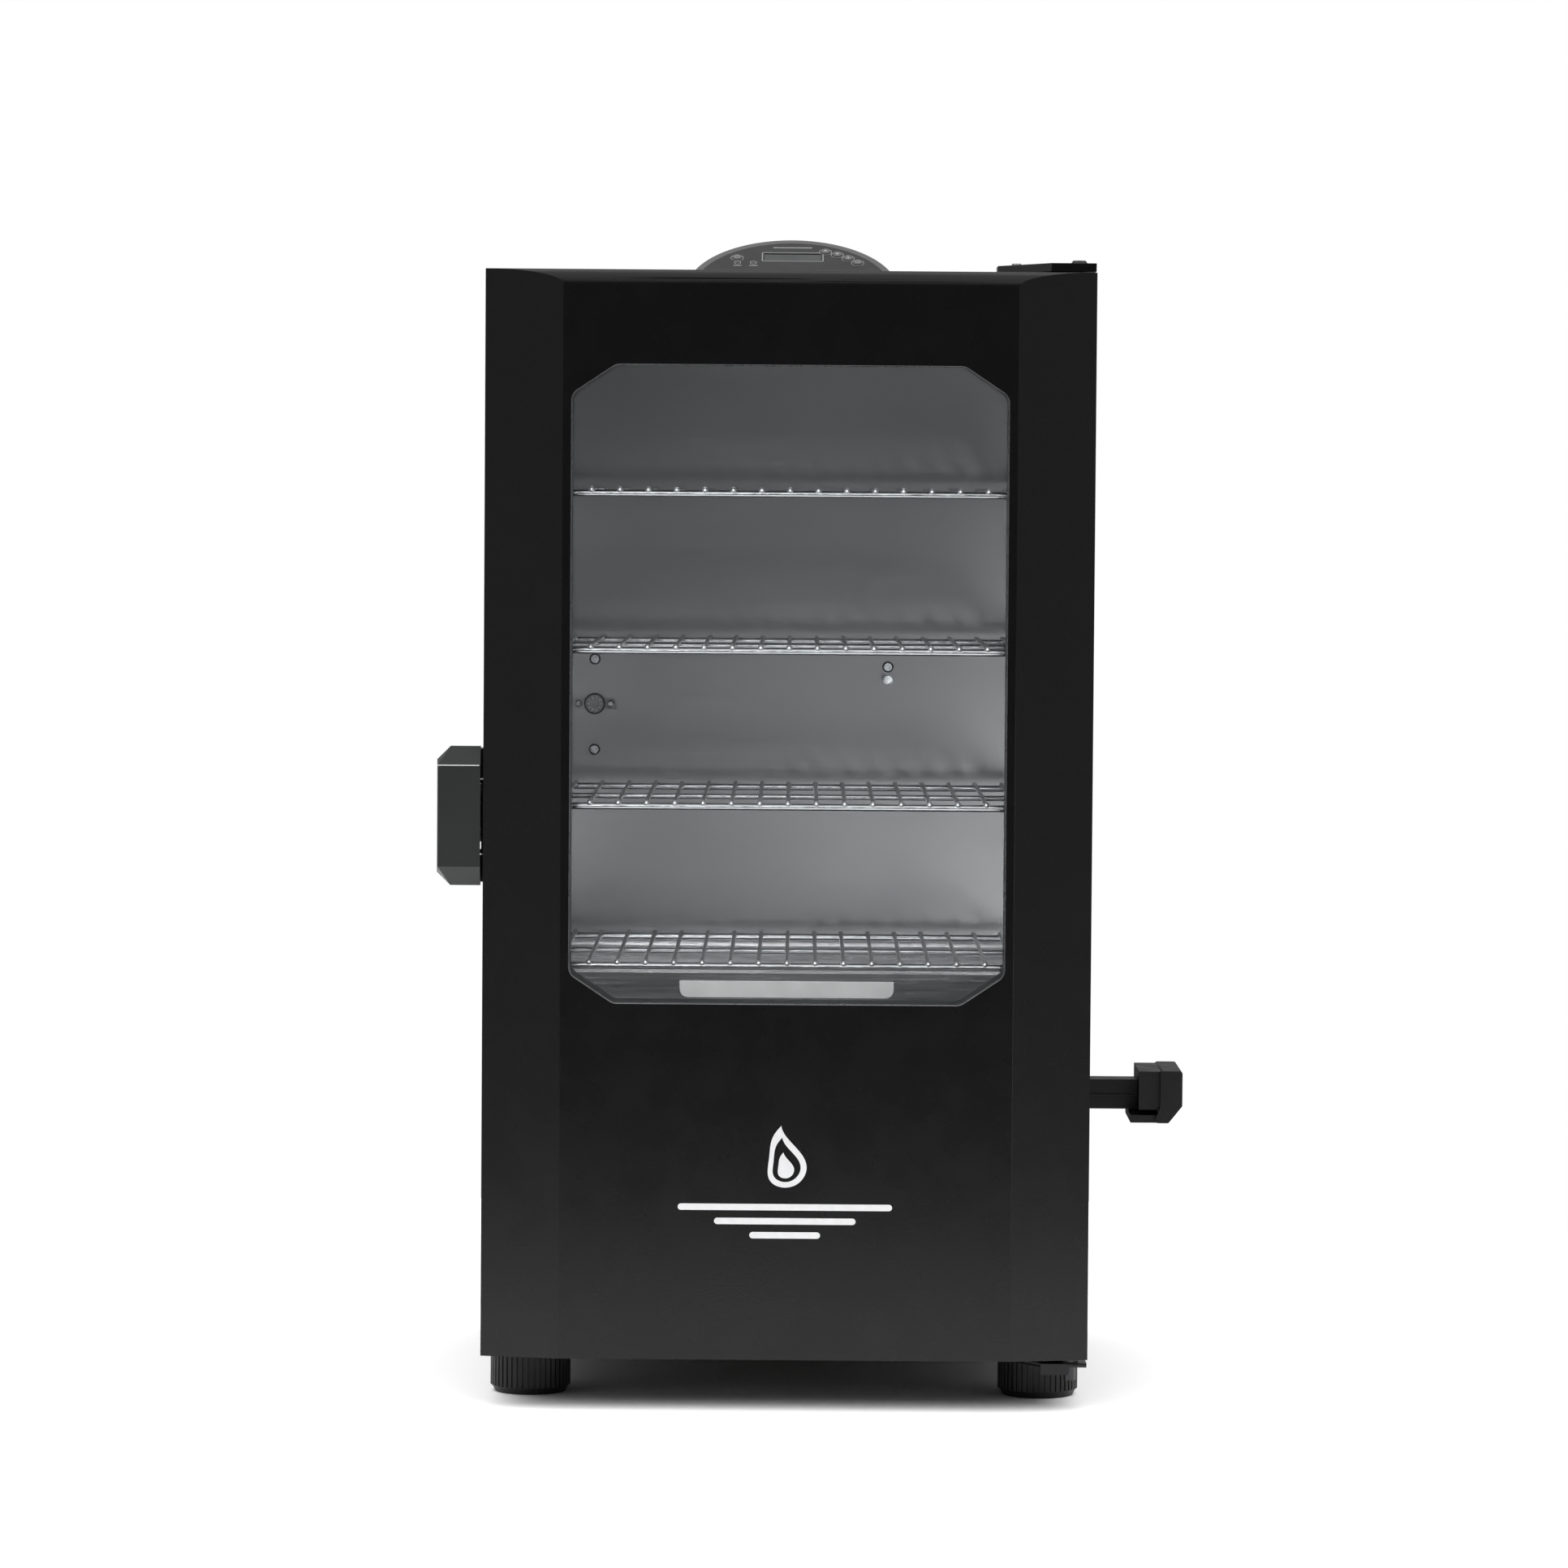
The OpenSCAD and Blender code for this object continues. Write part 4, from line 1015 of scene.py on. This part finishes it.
class SMOKER_OT_cover_louvres(Operator):
    """Makes the louvres in the wiring cover"""

    bl_idname = "smoker.cover_louvres"
    bl_label = "Cover louvres"

    def execute(self, context):
        low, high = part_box("wiring_cover")
        form = bmesh.new()
        for i in range(details().louvre_count):
            scoop = bmesh.new()
            bmesh.ops.create_cone(scoop, cap_ends=True, segments=16, radius1=LOUVRE_RADIUS,
                                  radius2=LOUVRE_RADIUS, depth=LOUVRE_LENGTH)
            whole = scoop.verts[:] + scoop.edges[:] + scoop.faces[:]
            bmesh.ops.bisect_plane(scoop, geom=whole, plane_co=(0, 0, 0),
                                   plane_no=(0, -1, 0), clear_outer=True)
            bmesh.ops.holes_fill(scoop, edges=[e for e in scoop.edges if e.is_boundary])
            z = high.z - LOUVRES_BELOW - i * LOUVRE_PITCH
            spot = (high.x - LOUVRE_LENGTH, high.y, z)
            joined(form, moved(scoop, turned(spot, math.pi / 2, "Y")))
        add_piece("cover_louvres", form, "black_coat", "cabinet")
        return {"FINISHED"}


class SMOKER_OT_casing_seams(Operator):
    """Makes the folded seams down the casing's rear corners"""

    bl_idname = "smoker.casing_seams"
    bl_label = "Casing seams"

    def execute(self, context):
        form = bmesh.new()
        height = CASING_HIGH.z - CASING_LOW.z - 24 * MM
        for x in (CASING_LOW.x, CASING_HIGH.x):
            seam = bmesh.new()
            bmesh.ops.create_cube(seam, size=1.0)
            bmesh.ops.scale(seam, verts=seam.verts, vec=(*SEAM, height))
            soften(seam, seam.edges[:], 0.6 * MM, 3)
            spot = (x, CASING_HIGH.y - 10 * MM, CASING_LOW.z + 8 * MM + height / 2)
            joined(form, moved(seam, Matrix.Translation(spot)))
        add_piece("casing_seams", form, "black_coat", "cabinet")
        return {"FINISHED"}


# ---- Stage ----


def add_light(name, kind, energy, spot, target, **facts):
    """A lamp at spot that shines towards target."""
    data = bpy.data.lights.new(name, kind)
    data.energy = energy
    for key, value in facts.items():
        setattr(data, key, value)
    lamp = bpy.data.objects.new(name, data)
    lamp.location = spot
    lamp.rotation_euler = (Vector(target) - Vector(spot)).to_track_quat("-Z", "Y").to_euler()
    lamp.visible_camera = False
    bpy.context.scene.collection.objects.link(lamp)
    return lamp


def make_studio_world(strength):
    """White to the camera; to all else dark in front, brighter beside and behind."""
    world = bpy.data.worlds.new("studio")
    bpy.context.scene.world = world
    world.use_nodes = True
    tree = world.node_tree
    background = tree.nodes["Background"]
    coords = tree.nodes.new("ShaderNodeTexCoord")
    split = tree.nodes.new("ShaderNodeSeparateXYZ")
    tree.links.new(coords.outputs["Generated"], split.inputs["Vector"])
    side = tree.nodes.new("ShaderNodeMath")
    side.operation = "ABSOLUTE"
    tree.links.new(split.outputs["X"], side.inputs[0])
    beside = spread(tree, side.outputs["Value"], STUDIO_FRONT, strength, start=0.18, end=0.5)
    behind = spread(tree, split.outputs["Y"], 0.0, strength, start=0.0, end=0.4)
    most = tree.nodes.new("ShaderNodeMath")
    most.operation = "MAXIMUM"
    tree.links.new(beside, most.inputs[0])
    tree.links.new(behind, most.inputs[1])
    shown = tree.nodes.new("ShaderNodeBackground")
    shown.inputs["Color"].default_value = WHITE
    shown.inputs["Strength"].default_value = 1.0
    path = tree.nodes.new("ShaderNodeLightPath")
    mix = tree.nodes.new("ShaderNodeMixShader")
    tree.links.new(most.outputs["Value"], background.inputs["Strength"])
    background.inputs["Color"].default_value = WHITE
    tree.links.new(path.outputs["Is Camera Ray"], mix.inputs["Fac"])
    tree.links.new(background.outputs["Background"], mix.inputs[1])
    tree.links.new(shown.outputs["Background"], mix.inputs[2])
    tree.links.new(mix.outputs["Shader"], tree.nodes["World Output"].inputs["Surface"])


STUDIO_FRONT = 0.08
SENSOR_WIDTH = 36
CAMERA_SHIFT = (-0.012, -0.0235)
FLOOR_RADIUS = 1.05
ABOVE = (0, -1.1, 4)
CHEST = (MIDDLE_X, -0.1, 0.5)
OVEN_FRONT, OVEN_MIDDLE = (-0.25, -2.2, 1.0), (MIDDLE_X, 0, 0.45)

# Each area lamp's energy, place, target, and width and height
AREA_LAMPS = {
    "left_softbox": (5, (-2.4, -1.3, 1.0), CHEST, (1.2, 2.2)),
    "right_softbox": (5, (2.4, -1.3, 1.0), CHEST, (1.2, 2.2)),
    "wall_lamp": (3.2, (0.5, -1.5, 0.16), (MIDDLE_X + 0.1, 0.1, 0.38), (0.3, 0.3)),
    "wire_lamp": (46, OVEN_FRONT, OVEN_MIDDLE, (0.8, 0.4)),
    "pan_lamp": (12, OVEN_FRONT, OVEN_MIDDLE, (0.8, 0.4)),
}

# What the lamps that are aimed through the window light
OVEN_WALLS = ("inner_liner", "rack_supports", "cabinet_screws", "temp_probe")
OVEN_WIRES = ("rack_1", "rack_2", "rack_3", "rack_4", "cabinet_screws", "temp_probe")
OVEN_PIECES = ("rack_1_welds", "rack_2_welds", "rack_3_welds", "rack_4_welds",
               "thermostat_dimples")


def gathered(name, objects):
    """A collection that only light linking uses."""
    group = bpy.data.collections.new(name)
    for obj in objects:
        group.objects.link(obj)
    return group


def shine_on(lamp, name, objects, shaded_by=()):
    """Keeps a lamp's light on the given objects, and its shade from the given ones."""
    lamp.light_linking.receiver_collection = gathered(name, objects)
    if shaded_by:
        lamp.light_linking.blocker_collection = gathered(f"{name}_shade", shaded_by)


class SMOKER_OT_camera(Operator):
    """Places the camera in front of the door"""

    bl_idname = "smoker.camera"
    bl_label = "Camera"

    def execute(self, context):
        s = context.scene.smoker_stage
        data = bpy.data.cameras.new("camera")
        data.lens = s.camera_lens
        data.sensor_width = SENSOR_WIDTH
        data.shift_x, data.shift_y = CAMERA_SHIFT
        data.clip_end = 200
        camera = bpy.data.objects.new("camera", data)
        camera.location = (MIDDLE_X + s.camera_side, DOOR_FRONT - s.camera_distance,
                           s.camera_height)
        camera.rotation_euler = (math.pi / 2 - s.camera_tilt, -s.camera_roll, 0)
        context.scene.collection.objects.link(camera)
        context.scene.camera = camera
        return {"FINISHED"}


class SMOKER_OT_stage(Operator):
    """Lays a plain pale floor and sets up soft studio light"""

    bl_idname = "smoker.stage"
    bl_label = "Stage"

    def execute(self, context):
        s = context.scene.smoker_stage
        form = bmesh.new()
        bmesh.ops.create_circle(form, cap_ends=True, segments=96, radius=FLOOR_RADIUS)
        mesh = bpy.data.meshes.new("floor")
        form.to_mesh(mesh)
        form.free()
        floor = bpy.data.objects.new("floor", mesh)
        material, tree, shader = new_finish("floor_paper")
        mottled(tree, shader, (0.90, 0.90, 0.90, 1), 3.0, 0.005)
        settle(shader, roughness=0.9, specular=0.1)
        mesh.materials.append(material)
        context.scene.collection.objects.link(floor)
        make_studio_world(s.studio_light)
        add_light("top_light", "SUN", s.top_light, ABOVE, (0, 0, 0),
                  angle=math.radians(100))
        wash = add_light("floor_wash", "SUN", s.floor_light, ABOVE, (0, 0, 0),
                         angle=math.radians(90))
        shine_on(wash, "paper", [floor])
        lamps = {}
        for name, (energy, spot, target, (wide, high)) in AREA_LAMPS.items():
            lamps[name] = add_light(name, "AREA", energy, spot, target, shape="RECTANGLE",
                                    size=wide, size_y=high)
        walls = [frame["nodes"][name] for name in OVEN_WALLS]
        wires = [frame["nodes"][name] for name in OVEN_WIRES]
        pieces = [bpy.data.objects[name] for name in OVEN_PIECES]
        pan = [frame["nodes"]["water_pan"], bpy.data.objects["pan_grip"]]
        shine_on(lamps["wall_lamp"], "oven_walls", walls, shaded_by=wires)
        shine_on(lamps["wire_lamp"], "oven_wires", wires + pieces)
        shine_on(lamps["pan_lamp"], "oven_pan", pan, shaded_by=walls)
        context.scene.view_settings.view_transform = "Standard"
        return {"FINISHED"}


OPERATORS = (
    SMOKER_OT_camera,
    SMOKER_OT_frame_finishes,
    SMOKER_OT_door_skin,
    SMOKER_OT_pressed_edges,
    SMOKER_OT_window_bead,
    SMOKER_OT_door_mark,
    SMOKER_OT_controller_print_and_key_highlights,
    SMOKER_OT_key_symbols,
    SMOKER_OT_rack_welds,
    SMOKER_OT_pan_grip,
    SMOKER_OT_latch_painted_highlight,
    SMOKER_OT_thermostat_face,
    SMOKER_OT_rear_screws,
    SMOKER_OT_cover_louvres,
    SMOKER_OT_casing_seams,
    SMOKER_OT_stage,
)


class SMOKER_PT_pieces(Panel):
    """Lists the smoker's pieces in the sidebar"""

    bl_idname = "SMOKER_PT_pieces"
    bl_label = "Smoker"
    bl_space_type = "VIEW_3D"
    bl_region_type = "UI"
    bl_category = "Smoker"

    def draw(self, context):
        for operator in OPERATORS:
            self.layout.operator(operator.bl_idname)
        for group in SETTINGS:
            settings = getattr(context.scene, group)
            for name in settings.__annotations__:
                self.layout.prop(settings, name)


SETTINGS = {
    "smoker_coatings": SmokerCoatings,
    "smoker_details": SmokerDetails,
    "smoker_stage": SmokerStage,
}


def register():
    for group in SETTINGS.values():
        bpy.utils.register_class(group)
    for operator in OPERATORS:
        bpy.utils.register_class(operator)
    bpy.utils.register_class(SMOKER_PT_pieces)
    for name, group in SETTINGS.items():
        setattr(bpy.types.Scene, name, PointerProperty(type=group))


def unregister():
    for name in SETTINGS:
        delattr(bpy.types.Scene, name)
    bpy.utils.unregister_class(SMOKER_PT_pieces)
    for operator in reversed(OPERATORS):
        bpy.utils.unregister_class(operator)
    for group in SETTINGS.values():
        bpy.utils.unregister_class(group)


def main():
    register()
    for operator in OPERATORS:
        group, name = operator.bl_idname.split(".")
        getattr(getattr(bpy.ops, group), name)()


if __name__ == "__main__":
    main()
